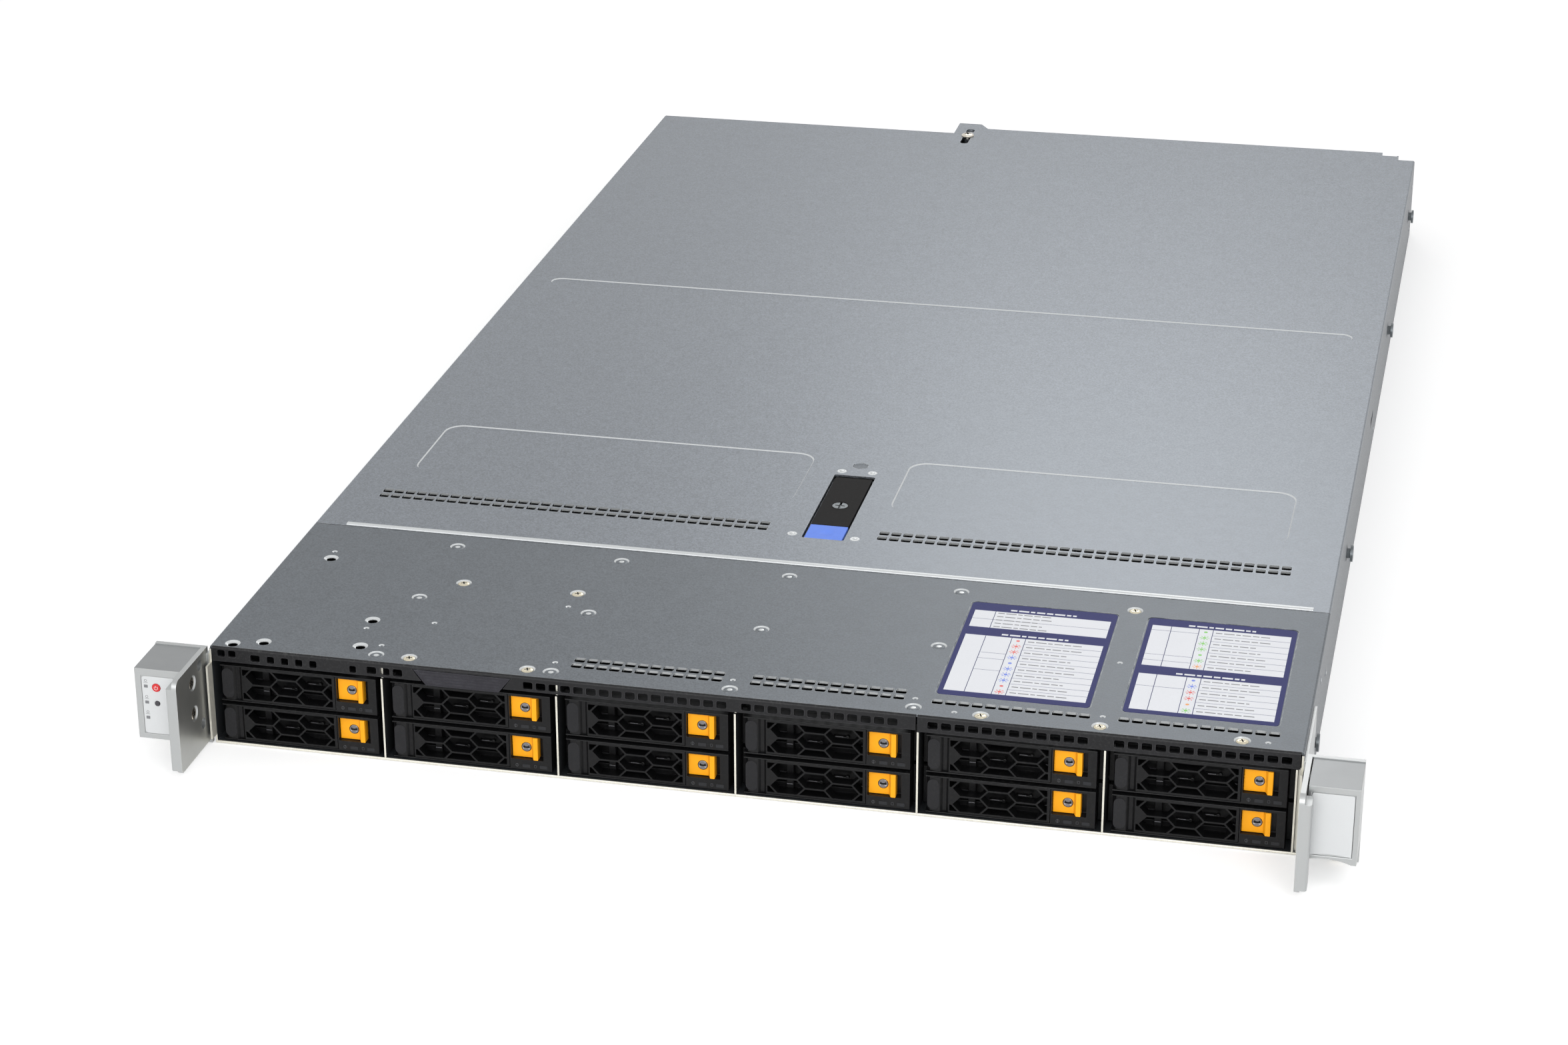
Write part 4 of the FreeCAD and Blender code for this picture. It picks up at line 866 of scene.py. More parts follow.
@dataclass
class FrontCover(Assembly):
    """Fixed cover over the bays with its rivets, screws, vents and two legend plates."""

    depth: float = 126.9
    trim: float = 1.0
    edge: float = 0.9
    vent_pitch: float = 5.2
    vent_count: int = 12
    vent_rows: tuple = ((-40.2, (14.3, 19.5)), (32.6, (14.3, 19.5)), (105.1, (13.5,)), (177.5, (13.5,)))
    dish: tuple = (2.6, 3.35)               # floor and mouth radius of a pressed dish
    head_drop: float = 0.45                 # seat of a rivet or screw head under the sheet's face
    rivet_x: tuple = (-150.0, -77.4, -4.7, 68.2)
    rivet_y: tuple = (7.0, 63.0, 116.0)
    screws: tuple = ((140.6, 113.0), (-136.2, 80.6), (-86.8, 80.6), (-136.2, 7.1), (-87.1, 7.1), (94.7, 5.6),
                     (140.6, 6.2), (194.7, 5.9))
    open_holes: tuple = ((-199.0, 92.9), (-161.8, 37.6), (-158.8, 13.2), (-198.2, 8.5), (-210.0, 4.6))
    pips: tuple = ((-199.7, 99.7), (-87.1, 67.1), (-161.8, 29.7), (-136.2, 40.3), (-150.6, 15.6),
                   (-77.9, 15.3), (-5.3, 15.0), (67.6, 14.4), (140.9, 62.9), (140.6, 14.4), (84.4, 5.9),
                   (204.4, 5.9))
    plates: tuple = (
        ("legend_plate_left", 104.55, (
            Table(0.085, 0.185, (0.155,), ((0.5,), (0.5,))),
            Table(0.085, 0.60, (0.15, 0.34, 0.44), ((), (0.3, 0.4, 0.6), (), ()), "RRRBBBBBRR"))),
        ("legend_plate_right", 177.1, (
            Table(0.075, 0.435, (0.14, 0.34, 0.44), ((0.12, 0.72, 0.86), (0.12, 0.72, 0.86), (), ()),
                  "GGGGGGO"),
            Table(0.085, 0.37, (0.13, 0.34, 0.44), ((0.34,), (0.34,), (), ()), "BBRROG"))))
    plate_seat: tuple = (30.4, 20.3, 108.2, 0.25)   # half width, front, rear and depth of a plate's seat
    plate_gap: float = 0.5
    plate_lines: tuple = (1.9, 0.28)        # navy margin and the lines between the cells
    title: float = 27.0                     # length of a table's heading
    bar_steps: tuple = (2.6, 4.2, 1.8, 3.4)
    bar_gap: float = 0.7
    ray: tuple = (1.05, 2.0, 0.16)          # inner and outer end and half width of a ray

    def __post_init__(self) -> None:
        self.rivets = [(x, y) for x in self.rivet_x for y in self.rivet_y]

    def build(self) -> None:
        """Make every piece of the front cover."""
        at = self.at
        sheet = Forge()
        sheet.block((-at.half, at.back(self.trim), at.cover_low), (at.half, at.back(self.depth), at.top))
        roll_sides(sheet, at, self.edge)
        sheet.cut(self.tools())
        paint_rim_highlight_and_shade(sheet)
        self.make(sheet, "front_cover_sheet", "dark_cover", (Paint.DARK_ZINC_AND_SHADE, Paint.BRIGHT_METAL_AND_HIGHLIGHT, Paint.BLACK_AND_SHADE),
                  "front_cover")
        for name, head, places, paints in (
                ("front_cover_rivets", rivet_head(2.5, 0.3), self.rivets, (Paint.DARK_ZINC_AND_SHADE, Paint.BRIGHT_METAL_AND_HIGHLIGHT)),
                ("front_cover_screws", phillips_screw(2.45, 0.5), self.screws, (Paint.BRASSY, Paint.BLACK_AND_SHADE))):
            heads = Forge()
            heads.scatter(head, [at.on_top(x, y, self.head_drop) for x, y in places])
            self.make(heads, name, "nickel", paints)
        for name, centre, tables in self.plates:
            self.legend(name, centre, tables)

    def tools(self) -> Forge:
        """Vents, dimples, open holes and the two places of the legend plates.

        Returns:
            The cutters.
        """
        at = self.at
        made = Forge()
        middle = (self.vent_count - 1) / 2
        # Vents, dishes, dimples and open holes give their walls the second material, a painted highlight.
        add_vents(made, at, (2.15, 1.95), 0.85, [
            (centre + (i - middle) * self.vent_pitch, at.back(y), 0.0)
            for centre, rows in self.vent_rows for i in range(self.vent_count) for y in rows])
        floor, mouth = self.dish
        for x, y in self.rivets + list(self.screws):
            made.lathe([(0.0, -0.5), (floor, -0.5), (mouth, 0.1), (0.0, 0.1)], at.on_top(x, y), UP, 40,
                       finish=1)
        for x, y in self.pips:
            made.rod(at.on_top(x, y, 0.3), at.on_top(x, y, -0.1), 0.5, 1.4, 16, finish=1)
        for x, y in self.open_holes:
            made.lathe([(0.0, -2.0), (2.0, -2.0), (2.0, -0.7), (2.3, -0.6), (3.25, 0.1), (0.0, 0.1)],
                       at.on_top(x, y), UP, 40, finish=1)
        half, front, rear, depth = self.plate_seat
        for _, x, _ in self.plates:
            made.block(at.on_top(x - half, front, depth), at.on_top(x + half, rear, -1), corner=2.2)
        return made

    def legend(self, name: str, centre: float, tables: tuple[Table, ...]) -> None:
        """One plate: navy ground, white cells and coloured lamp signs.

        Args:
            name: name of the piece.
            centre: middle of the plate across.
            tables: its tables, from the rear to the front.
        """
        half, front, rear, depth = self.plate_seat
        half, low = half - self.plate_gap, self.at.top - depth + 0.01
        front, rear = self.at.back(front + self.plate_gap), self.at.back(rear - self.plate_gap)
        cell, sign, print_z = low + 0.1, low + 0.12, low + 0.15
        plate = Forge()
        plate.block((centre - half, front, low), (centre + half, rear, low + 0.14), corner=2.0)
        paints = {"R": Paint.DOT_RED, "G": Paint.DOT_GREEN, "B": Paint.DOT_BLUE, "O": Paint.DOT_ORANGE}
        numbers = {letter: 2 + i for i, letter in enumerate(paints)}
        margin, line = self.plate_lines
        left, wide, long = centre - half + margin, 2 * half - 2 * margin, rear - front
        for table in tables:
            rear -= table.header * long
            tall = table.height * long
            self.bars(plate, (centre - self.title / 2, rear + 2.1), self.title, 1.3, cell, 1)
            columns = (0.0, *table.columns, 1.0)
            for (start, end), breaks in zip(zip(columns, columns[1:]), (*table.breaks, ())):
                edges = (0.0, *breaks, 1.0)
                if not breaks and end == 1.0 and table.signs:
                    edges = [i / len(table.signs) for i in range(len(table.signs) + 1)]
                for first, last in zip(edges, edges[1:]):
                    plate.block((left + start * wide + line / 2, rear - last * tall + line / 2, cell),
                                (left + end * wide - line / 2, rear - first * tall - line / 2, cell + 0.07),
                                finish=1)
            rows = len(table.signs) or 5
            for i in range(rows):
                self.bars(plate, (left + columns[-2] * wide + 1.2, rear - (i + 0.5) * tall / rows),
                          17.0 + 7.0 * ((i * 5 + 2) % 4) / 3, 0.62, print_z, 6)
            for i, letter in enumerate(table.signs):
                place = (left + (table.columns[-1] + table.columns[-2]) / 2 * wide,
                         rear - (i + 0.5) * tall / rows)
                self.sign(plate, place, sign, i % 4 > 0, numbers[letter])
            rear -= tall
        self.make(plate, name, "dark_cover", (Paint.NAVY, Paint.PAPER, *paints.values(), Paint.GREY_MARK))

    def bars(self, plate: Forge, start: tuple[float, float], length: float, tall: float, low: float,
             finish: int) -> None:
        """Row of plain bars where a line of print would be.

        Args:
            plate: plate that carries the row.
            start: left end of the row.
            length: length of the row.
            tall: height of the bars.
            low: height of their underside.
            finish: number of the material.
        """
        x, end, step = start[0], start[0] + length, 0
        while x < end - 1.0:
            wide = self.bar_steps[step % len(self.bar_steps)]
            plate.block((x, start[1] - tall / 2, low), (min(x + wide, end), start[1] + tall / 2, low + 0.05),
                        finish=finish)
            x += wide + self.bar_gap
            step += 1

    def sign(self, plate: Forge, place: tuple[float, float], low: float, rays: bool, finish: int) -> None:
        """Coloured dot of a lamp, with rays where it blinks.

        Args:
            plate: plate that carries the sign.
            place: middle of the dot.
            low: height of its underside.
            rays: whether it blinks.
            finish: number of the material.
        """
        x, y = place
        plate.rod((x, y, low), (x, y, low + 0.08), 0.75, sides=20, finish=finish)
        inner, outer, half = self.ray
        for i in range(8 if rays else 0):
            ray = Forge()
            ray.block((inner, -half, 0.0), (outer, half, 0.07), finish=finish)
            ray.turn(Matrix.Translation((x, y, low)) @ Matrix.Rotation(i * math.pi / 4, 4, "Z"))
            plate.scatter(ray)


@dataclass
class TopCover(Assembly):
    """Sliding cover with pressed fields, perforations, the latch's pan and the front bead."""

    seam: float = 127.4
    edge: float = 0.9
    rear_gap: float = 2.0                   # rear edge to the body's end
    lip: float = 10.0                       # reach of the middle beyond the body's end
    notch: tuple = (9.5, 18.5, 5.5)         # steps of the right rear corner: widths and depth
    tab_x: tuple = (-45.0, -32.0, -27.0)    # outer side, shoulder and foot of the screw tab
    tab_l: float = 20.0
    sheet: float = 1.0
    side_gap: float = 1.2                   # outer face to the folded flange
    flange: tuple = (134.9, 15.0, 8.0)      # front end, shortness at the rear and height
    latch_x: float = 0.7
    latch_w: float = 18.6
    latch_y: float = 156.8
    latch_l: float = 71.4
    pan_low: float = 34.9
    pan_wall: float = 0.8
    bead: tuple = (14.2, 7.1, 2.1, 1.6)     # left and right margin, place behind the seam, radius
    pan_lip: tuple = (8.0, 6.0)             # reach of the pan's lip at the sides and in front
    hold_down: tuple[float, float] = (-36.3, 3.6)
    hold_slot: tuple = (2.3, 14.6, 13.4)    # half width, reach to the front and to the rear
    fields: tuple = ((-196.0, -20.5, 192.5, 250.0, 8.5), (22.0, 195.5, 192.5, 250.0, 8.5),
                     (-204.5, 205.0, 445.0, 456.0, 5.4))
    vent_x: tuple = (-198.5, 25.6)
    vent_y: tuple = (162.9, 168.2)
    vent_count: int = 34
    vent_pitch: float = 5.2
    rivets: tuple = ((-13.2, 159.8), (14.3, 159.6), (-6.2, 232.3), (7.7, 232.7))
    hexagon: tuple = (0.8, 240.1)

    def __post_init__(self) -> None:
        at = self.at
        self.slot = (self.latch_x - self.latch_w / 2, self.latch_x + self.latch_w / 2, at.back(self.latch_y),
                     at.back(self.latch_y + self.latch_l))

    def build(self) -> None:
        """Make every piece of the top cover."""
        at = self.at
        front, rear, far = at.back(self.seam), at.rear - self.rear_gap, at.rear + self.lip
        first, second, deep = self.notch
        outer, shoulder, foot = self.tab_x
        outline = [(-at.half, front), (at.half, front), (at.half, rear), (at.half - first, rear),
                   (at.half - first, far - deep), (at.half - second, far - deep), (at.half - second, far),
                   (foot, far), (shoulder, rear + self.tab_l), (outer, rear + self.tab_l), (outer, rear),
                   (-at.half, rear)]
        sheet = Forge()
        sheet.slab([(x, y, at.cover_low) for x, y in outline], (0, 0, at.top - at.cover_low))
        roll_sides(sheet, at, self.edge)
        sheet.cut(self.tools())
        paint_rim_highlight_and_shade(sheet)
        start, short, tall = self.flange
        for x in (self.side_gap - at.half, at.half - self.side_gap - self.sheet):
            sheet.block((x, at.back(start), at.cover_low - tall),
                        (x + self.sheet, at.rear - short, at.cover_low + 0.2))
        self.add_pan(sheet)
        self.add_bead(sheet)
        self.make(sheet, "top_cover_sheet", "galvanised",
                  (Paint.ZINC, Paint.BRIGHT_METAL_AND_HIGHLIGHT, Paint.BLACK_AND_SHADE, Paint.DARK_ZINC_AND_SHADE), "top_cover", body="cover")
        rivets = Forge()
        rivets.scatter(rivet_head(2.2, 0.4), [at.on_top(x, y, 0.05) for x, y in self.rivets])
        self.make(rivets, "latch_pan_rivets", "nickel", (Paint.BRIGHT_METAL_AND_HIGHLIGHT, Paint.BRIGHT_METAL_AND_HIGHLIGHT), body="cover")

    def add_pan(self, sheet: Forge) -> None:
        """Pan under the latch opening, with its lip under the sheet; its walls take the second material, a
        painted highlight.

        Args:
            sheet: cover that gets the pan.
        """
        x0, x1, y0, y1 = self.slot
        wall, top = self.pan_wall, self.at.cover_low
        pan = Forge()
        pan.block((x0 - wall, y0 - wall, self.pan_low - wall), (x1 + wall, y1 + wall, top), corner=1.6,
                  finish=1)
        side, front = self.pan_lip
        pan.block((x0 - side, y0 - front, top - wall), (x1 + side, y1 + side, top), corner=3.0)
        hollow = Forge()
        hollow.block((x0, y0, self.pan_low), (x1, y1, self.at.top), corner=1.0, finish=1)
        pan.cut(hollow)
        sheet.scatter(pan)

    def add_bead(self, sheet: Forge) -> None:
        """Half-round bead along the front edge, in the second material as a painted highlight.

        Args:
            sheet: cover that gets the bead.
        """
        at = self.at
        left, right, behind, radius = self.bead
        length = 2 * at.half - left - right
        place = Matrix.Translation((-at.half + left + length / 2, at.back(self.seam) + behind, at.top))
        piece = bmesh.new()
        place = place @ Matrix.Diagonal((1.0, 0.9, 0.4, 1.0)) @ turn_to(Vector((1, 0, 0)))
        bmesh.ops.create_cone(piece, cap_ends=True, cap_tris=False, segments=32, radius1=radius,
                              radius2=radius, depth=length, matrix=place)
        bmesh.ops.bisect_plane(piece, geom=piece.verts[:] + piece.edges[:] + piece.faces[:],
                               plane_co=(0, 0, at.top - 0.02), plane_no=(0, 0, -1), clear_outer=True)
        bmesh.ops.contextual_create(piece, geom=[e for e in piece.edges if e.is_boundary])
        sheet.take(piece, 1)

    def tools(self) -> Forge:
        """Pressed fields, perforations, latch opening and the screw slot.

        Returns:
            The cutters.
        """
        at = self.at
        made = Forge()
        # The pressed fields' slopes take the second material, a painted highlight.
        for x0, x1, y0, y1, corner in self.fields:
            made.block(at.on_top(x0, y0, 0.4), at.on_top(x1, y1, -0.4), corner=corner, taper=0.9, finish=1)
        add_vents(made, at, (2.1, 2.0), 0.8, [
            (x0 + i * self.vent_pitch, at.back(y), 0.0)
            for x0 in self.vent_x for i in range(self.vent_count) for y in self.vent_y])
        x0, x1, y0, y1 = self.slot
        made.block((x0, y0, at.cover_low - 1), (x1, y1, at.top + 1), corner=1.0)
        # The hexagon recess takes the fourth material, darker sheet as painted shade.
        made.rod(at.on_top(*self.hexagon, 0.35), at.on_top(*self.hexagon, -0.1), 3.6, 4.0, sides=6, finish=3)
        x, y = self.hold_down[0], node_box("screws")[1].y - self.hold_down[1]
        half, front, rear = self.hold_slot
        made.block((x - half, y - front, at.cover_low - 1), (x + half, y + rear, at.top + 1), corner=2.25)
        return made


@dataclass
class CoverLatch(Assembly):
    """Black lever of the cover, its lock and its blue press tab."""

    ring_gap: float = 0.5
    ring_wire: float = 0.16
    cross: tuple = (0.32, 0.4, 0.8)         # share of the lock's width, half width and depth
    thumb: tuple = ((0.0, -0.35), (2.2, -0.3), (4.3, 0.02), (4.3, 1.0), (0.0, 1.0))
    thumb_y: float = 6.6

    def build(self) -> None:
        """Make the three pieces."""
        lock_low, lock_high = node_box("latch_lock")
        middle = (lock_low + lock_high) / 2
        lever = Forge()
        lever.copy_of("cover_latch", 0.35, 3)
        lever.ring((middle.x, middle.y, node_box("cover_latch")[1].z), UP,
                   lock_high.x - middle.x + self.ring_gap, self.ring_wire, 36)
        self.make(lever, "cover_latch_lever", "black_plastic", (Paint.LATCH_BLACK,), "cover_latch",
                  body="latch")
        lock, cross = Forge(), Forge()
        lock.copy_of("latch_lock", 0.15)
        share, half, deep = self.cross
        arm = (lock_high.x - lock_low.x) * share
        # The cross slot takes the second material as painted shade.
        cross.block((middle.x - arm, middle.y - half, lock_high.z - deep),
                    (middle.x + arm, middle.y + half, lock_high.z + 1), finish=1)
        lock.cut(cross)
        self.make(lock, "latch_lock_cam", "nickel", (Paint.LOCK, Paint.BLACK_AND_SHADE), "latch_lock", body="lock")
        tab, thumb = Forge(), Forge()
        tab.copy_of("latch_button", 0.4, 3)
        low, high = node_box("latch_button")
        thumb.lathe(list(self.thumb), ((low.x + high.x) / 2, low.y + self.thumb_y, high.z), UP, 40)
        tab.cut(thumb)
        self.make(tab, "latch_press_tab", "blue_plastic", (Paint.BLUE,), "latch_button", body="press_tab")


@dataclass
class FrontTrim(Assembly):
    """Black vented strip above the trays and the pull-out service tab."""

    split: float = 70.7                     # where the left strip ends
    split_gap: float = 0.8
    side_gap: float = 1.2
    drop: float = 6.9
    left_rise: float = 0.6                  # how much lower the right strip reaches
    thick: float = 1.0
    vent_h: float = 3.1
    card: tuple = (40.6, 30.0, 6.6)         # upper and lower width and height of the tab's face
    card_gap: float = 0.3
    card_drop: float = 1.6
    grips: tuple = (4, 1.5, 1.25, 17.2)     # count, first height, pitch and half length of the finger bars
    bay: float = 72.4

    def __post_init__(self) -> None:
        left = -self.at.half
        grid = [left + GRID_MARGIN + i * self.bay for i in range(7)]
        self.vents = (                      # left side, count, width, pitch and depth under the top
            (grid[3] - 70.6, 13, 4.0, 5.27, 2.2), (grid[3] + 2.5, 12, 4.0, 5.27, 2.2),
            (grid[1] - 6.0, 1, 4.0, 5.27, 2.2), (grid[1] - 0.4, 2, 4.0, 5.27, 2.2),
            (grid[1] - 13.3, 1, 2.8, 5.27, 2.6), (grid[2] - 13.5, 3, 4.0, 5.27, 2.2),
            (left + 3.4, 2, 3.2, 4.6, 1.2), (left + 17.4, 1, 4.0, 5.27, 2.2),
            (left + 24.4, 4, 3.1, 6.0, 2.2), (grid[4] + 3.7, 12, 4.0, 5.27, 2.2),
            (grid[5] + 3.2, 13, 4.0, 5.27, 2.2))

    def build(self) -> None:
        """Make the strip and the tab."""
        at = self.at
        strip = Forge()
        gap = self.split_gap / 2
        for x0, x1, drop in ((self.side_gap - at.half, self.split - gap, self.drop - self.left_rise),
                             (self.split + gap, at.half - self.side_gap, self.drop)):
            arc = [(x0, at.front + self.thick * (1 - math.cos(a)), at.top - self.thick * (1 - math.sin(a)))
                   for a in (math.radians(15 * i) for i in range(7))]
            strip.slab([(x0, at.front, at.top - drop)] + arc + [(x0, at.front + self.thick, at.top - drop)],
                       (x1 - x0, 0, 0))
        tools = Forge()
        for x, count, width, pitch, below in self.vents:
            for i in range(count):
                low = x + i * pitch
                tools.block((low, at.front - 1, at.top - below - self.vent_h),
                            (low + width, at.front + 3, at.top - below), corner=0.7, axis="y")
        low, high = node_box("service_tab")
        middle, gap, top = (low.x + high.x) / 2, self.card_gap, at.top - self.card_drop
        upper, lower = self.card[0] / 2 + gap, self.card[1] / 2 + gap
        bottom = top - self.card[2] - gap
        tools.slab([(middle - lower, at.front - 1, bottom), (middle + lower, at.front - 1, bottom),
                    (middle + upper, at.front - 1, top + gap), (middle - upper, at.front - 1, top + gap)],
                   (0, 3, 0))
        strip.cut(tools)
        self.make(strip, "front_trim_strip", "black_trim", (Paint.BLACK_TRIM,), "front_trim")
        tab = Forge()
        tab.copy_of("service_tab", 0.2)
        count, first, pitch, half = self.grips
        for i in range(count):
            z = high.z - first - pitch * i
            wide = half - 1.0 * i
            tab.block((middle - wide, low.y - 0.1, z - 0.22), (middle + wide, low.y + 0.2, z + 0.22),
                      soften=0.08)
        self.make(tab, "service_tab_face", "card_plastic", (Paint.SERVICE_TAB,), "service_tab", body="card")


# ---- trays -----------------------------------------------------------------------------
@dataclass
class DriveTrays(Assembly):
    """Twelve drive carriers with honeycomb levers and orange release tabs."""

    count: int = 12
    lever_low: Point = (0.1, 0.1, 0.6)      # lowest corner of a lever from its tray's corner
    face_y: float = 10.0                    # front of the drive
    grille_x: float = 9.3                   # left side of the grille
    tray_h: float = 16.0
    struts: tuple = ((24.0, 4.4), (27.0, 11.0), (34.5, 7.6), (41.5, 11.4), (42.5, 4.4))
    lamps: tuple = ((54.1, 57.35), (61.25, 64.35))
    pin: Point = (55.45, 2.0, 9.4)
    ring_sign: tuple = (51.9, 2.0)
    drum_sign: tuple = (59.0, 60.0, 1.35, 2.6)

    def build(self) -> None:
        """Make every tray out of the first one's three pieces."""
        first = self.corner(1)
        kinds = (
            (self.lever(first), "tray_grille", "lever", "black_plastic", "tray_lever",
             (Paint.TRAY, Paint.PAD, Paint.BLACK_AND_SHADE)),
            (self.carrier(first), "carrier_bezel", "carrier", "black_plastic", "drive_carrier",
             (Paint.TRAY, Paint.DRIVE_AND_SHADE, Paint.BLACK_AND_SHADE, Paint.LAMP, Paint.TRAY_MARK, Paint.GLINT)),
            (self.tab(first), "release_clip", "tab", "orange_plastic", "release_tab",
             (Paint.ORANGE, Paint.PIN, Paint.BLACK_AND_SHADE)))
        for number in range(1, self.count + 1):
            place = tuple(self.corner(number))
            for shape, name, body, slot, node, paints in kinds:
                piece = Forge()
                piece.stamp(shape, [place])
                self.make(piece, f"{name}_{number:02d}", slot, paints, f"{node}_{number:02d}",
                          body=f"{body}_{number:02d}")
        for shape, *_ in kinds:
            shape.mesh.free()

    def corner(self, number: int) -> Vector:
        """Left, front, lower corner of a tray."""
        return node_box(f"tray_lever_{number:02d}")[0] - Vector(self.lever_low)

    @staticmethod
    def local_copy(node: str, corner: Vector, soften: float, segments: int = 2) -> Forge:
        """Refined copy of a CAD node, moved to its tray's own corner.

        Args:
            node: name of the CAD node.
            corner: the tray's corner.
            soften: rounding of its edges.
            segments: steps across the rounding.

        Returns:
            The copy.
        """
        made = Forge()
        made.copy_of(node, soften, segments)
        made.turn(Matrix.Translation(-corner))
        return made

    def lever(self, corner: Vector) -> Forge:
        """Honeycomb lever with its matt pad, and painted shade on the walls of its cells.

        Args:
            corner: the first tray's corner.

        Returns:
            The lever, at the tray's own corner.
        """
        made = self.local_copy("tray_lever_01", corner, 0.13)
        # Cell walls behind the grille's front take the third material as painted shade.
        shade(made, lambda middle, _: 2 * (middle.x > self.grille_x and middle.y > 0.35))
        made.block((0.8, -0.08, 1.5), (5.5, 0.6, 14.5), corner=2.3, axis="y", soften=0.1, finish=1)
        return made

    def carrier(self, corner: Vector) -> Forge:
        """Bezel, drive, the struts behind the grille with painted glints, a dark plate of painted shade on
        the drive's front, and the two lamp windows.

        Args:
            corner: the first tray's corner.

        Returns:
            The carrier, at the tray's own corner.
        """
        made = self.local_copy("drive_carrier_01", corner, 0.22)
        # Drive faces take the second material, kept near black as painted shade.
        shade(made, lambda middle, _: int(middle.y > self.face_y + 0.5))
        top = self.tray_h
        # Dark plate on the drive's front behind the grille: painted shade.
        made.block((9.6, 9.7, 2.6), (45.0, 9.95, top - 2.6), finish=2)
        made.block((16.0, 5.6, 0.8), (18.9, 8.2, top - 0.8), soften=0.3)
        # Thin bars in the sixth material: painted glints.
        made.block((12.2, 6.4, 6.9), (16.1, 8.1, 7.3), soften=0.15, finish=5)
        made.block((16.2, 5.4, 3.0), (18.7, 5.7, 3.3), soften=0.1, finish=5)
        made.slab([(10.4, 5.8, 3.6), (15.9, 5.8, 5.4), (15.9, 5.8, 6.2), (10.4, 5.8, 4.4)], (0.0, 1.6, 0.0),
                  soften=0.1)
        for x, z in self.struts:
            made.block((x, 6.0, z), (x + 5.4, 8.1, z + 0.7), soften=0.2)
            made.rod((x + 5.8, 6.2, z + 0.3), (x + 5.8, 8.1, z + 0.3), 0.8, sides=20, soften=0.25)
            # Painted glint along each strut.
            made.block((x + 1.0, 5.95, z + 0.55), (x + 4.2, 6.3, z + 0.75), soften=0.08, finish=5)
        for x0, x1 in self.lamps:
            made.block((x0 - 0.3, -0.03, 0.95), (x1 + 0.15, 0.3, 2.85), corner=0.25, axis="y", finish=2)
            made.block((x0, -0.07, 1.15), (x1, 0.3, 2.6), corner=0.2, axis="y", finish=3)
        self.marks(made)
        return made

    def marks(self, made: Forge) -> None:
        """Plain signs beside the lamp windows: a crossed ring and a drum.

        Args:
            made: carrier that gets the signs.
        """
        x, z = self.ring_sign
        made.ring((x, -0.02, z), FRONTWARD, 0.62, 0.09, 20, finish=4)
        left, right, low, high = self.drum_sign
        for x0, x1, z0, z1 in ((x - 0.1, x + 0.1, z - 0.8, z + 0.8), (left, right, low, low + 0.15),
                               (left, right, high - 0.15, high), (left, left + 0.12, low, high),
                               (right - 0.12, right, low, high)):
            made.block((x0, -0.05, z0), (x1, 0.1, z1), finish=4)

    def tab(self, corner: Vector) -> Forge:
        """Orange tab with its slotted steel pin.

        Args:
            corner: the first tray's corner.

        Returns:
            The tab, at the tray's own corner.
        """
        made = self.local_copy("release_tab_01", corner, 0.25, 3)
        x, y, z = self.pin
        pin, slot = Forge(), Forge()
        pin.lathe([(0.0, -0.3), (1.9, -0.3), (1.9, 0.1), (1.75, 0.22), (0.0, 0.25)], self.pin, FRONTWARD, 32,
                  finish=1)
        # The pin's slot and the ring round it take the third material as painted shade.
        slot.block((x - 1.25, y - 1.0, z - 0.4), (x + 1.25, y - 0.05, z + 0.4), corner=0.35, axis="y",
                   finish=2)
        pin.cut(slot)
        made.scatter(pin)
        made.ring((x, y - 0.01, z), FRONTWARD, 1.98, 0.1, 32, finish=2)
        return made


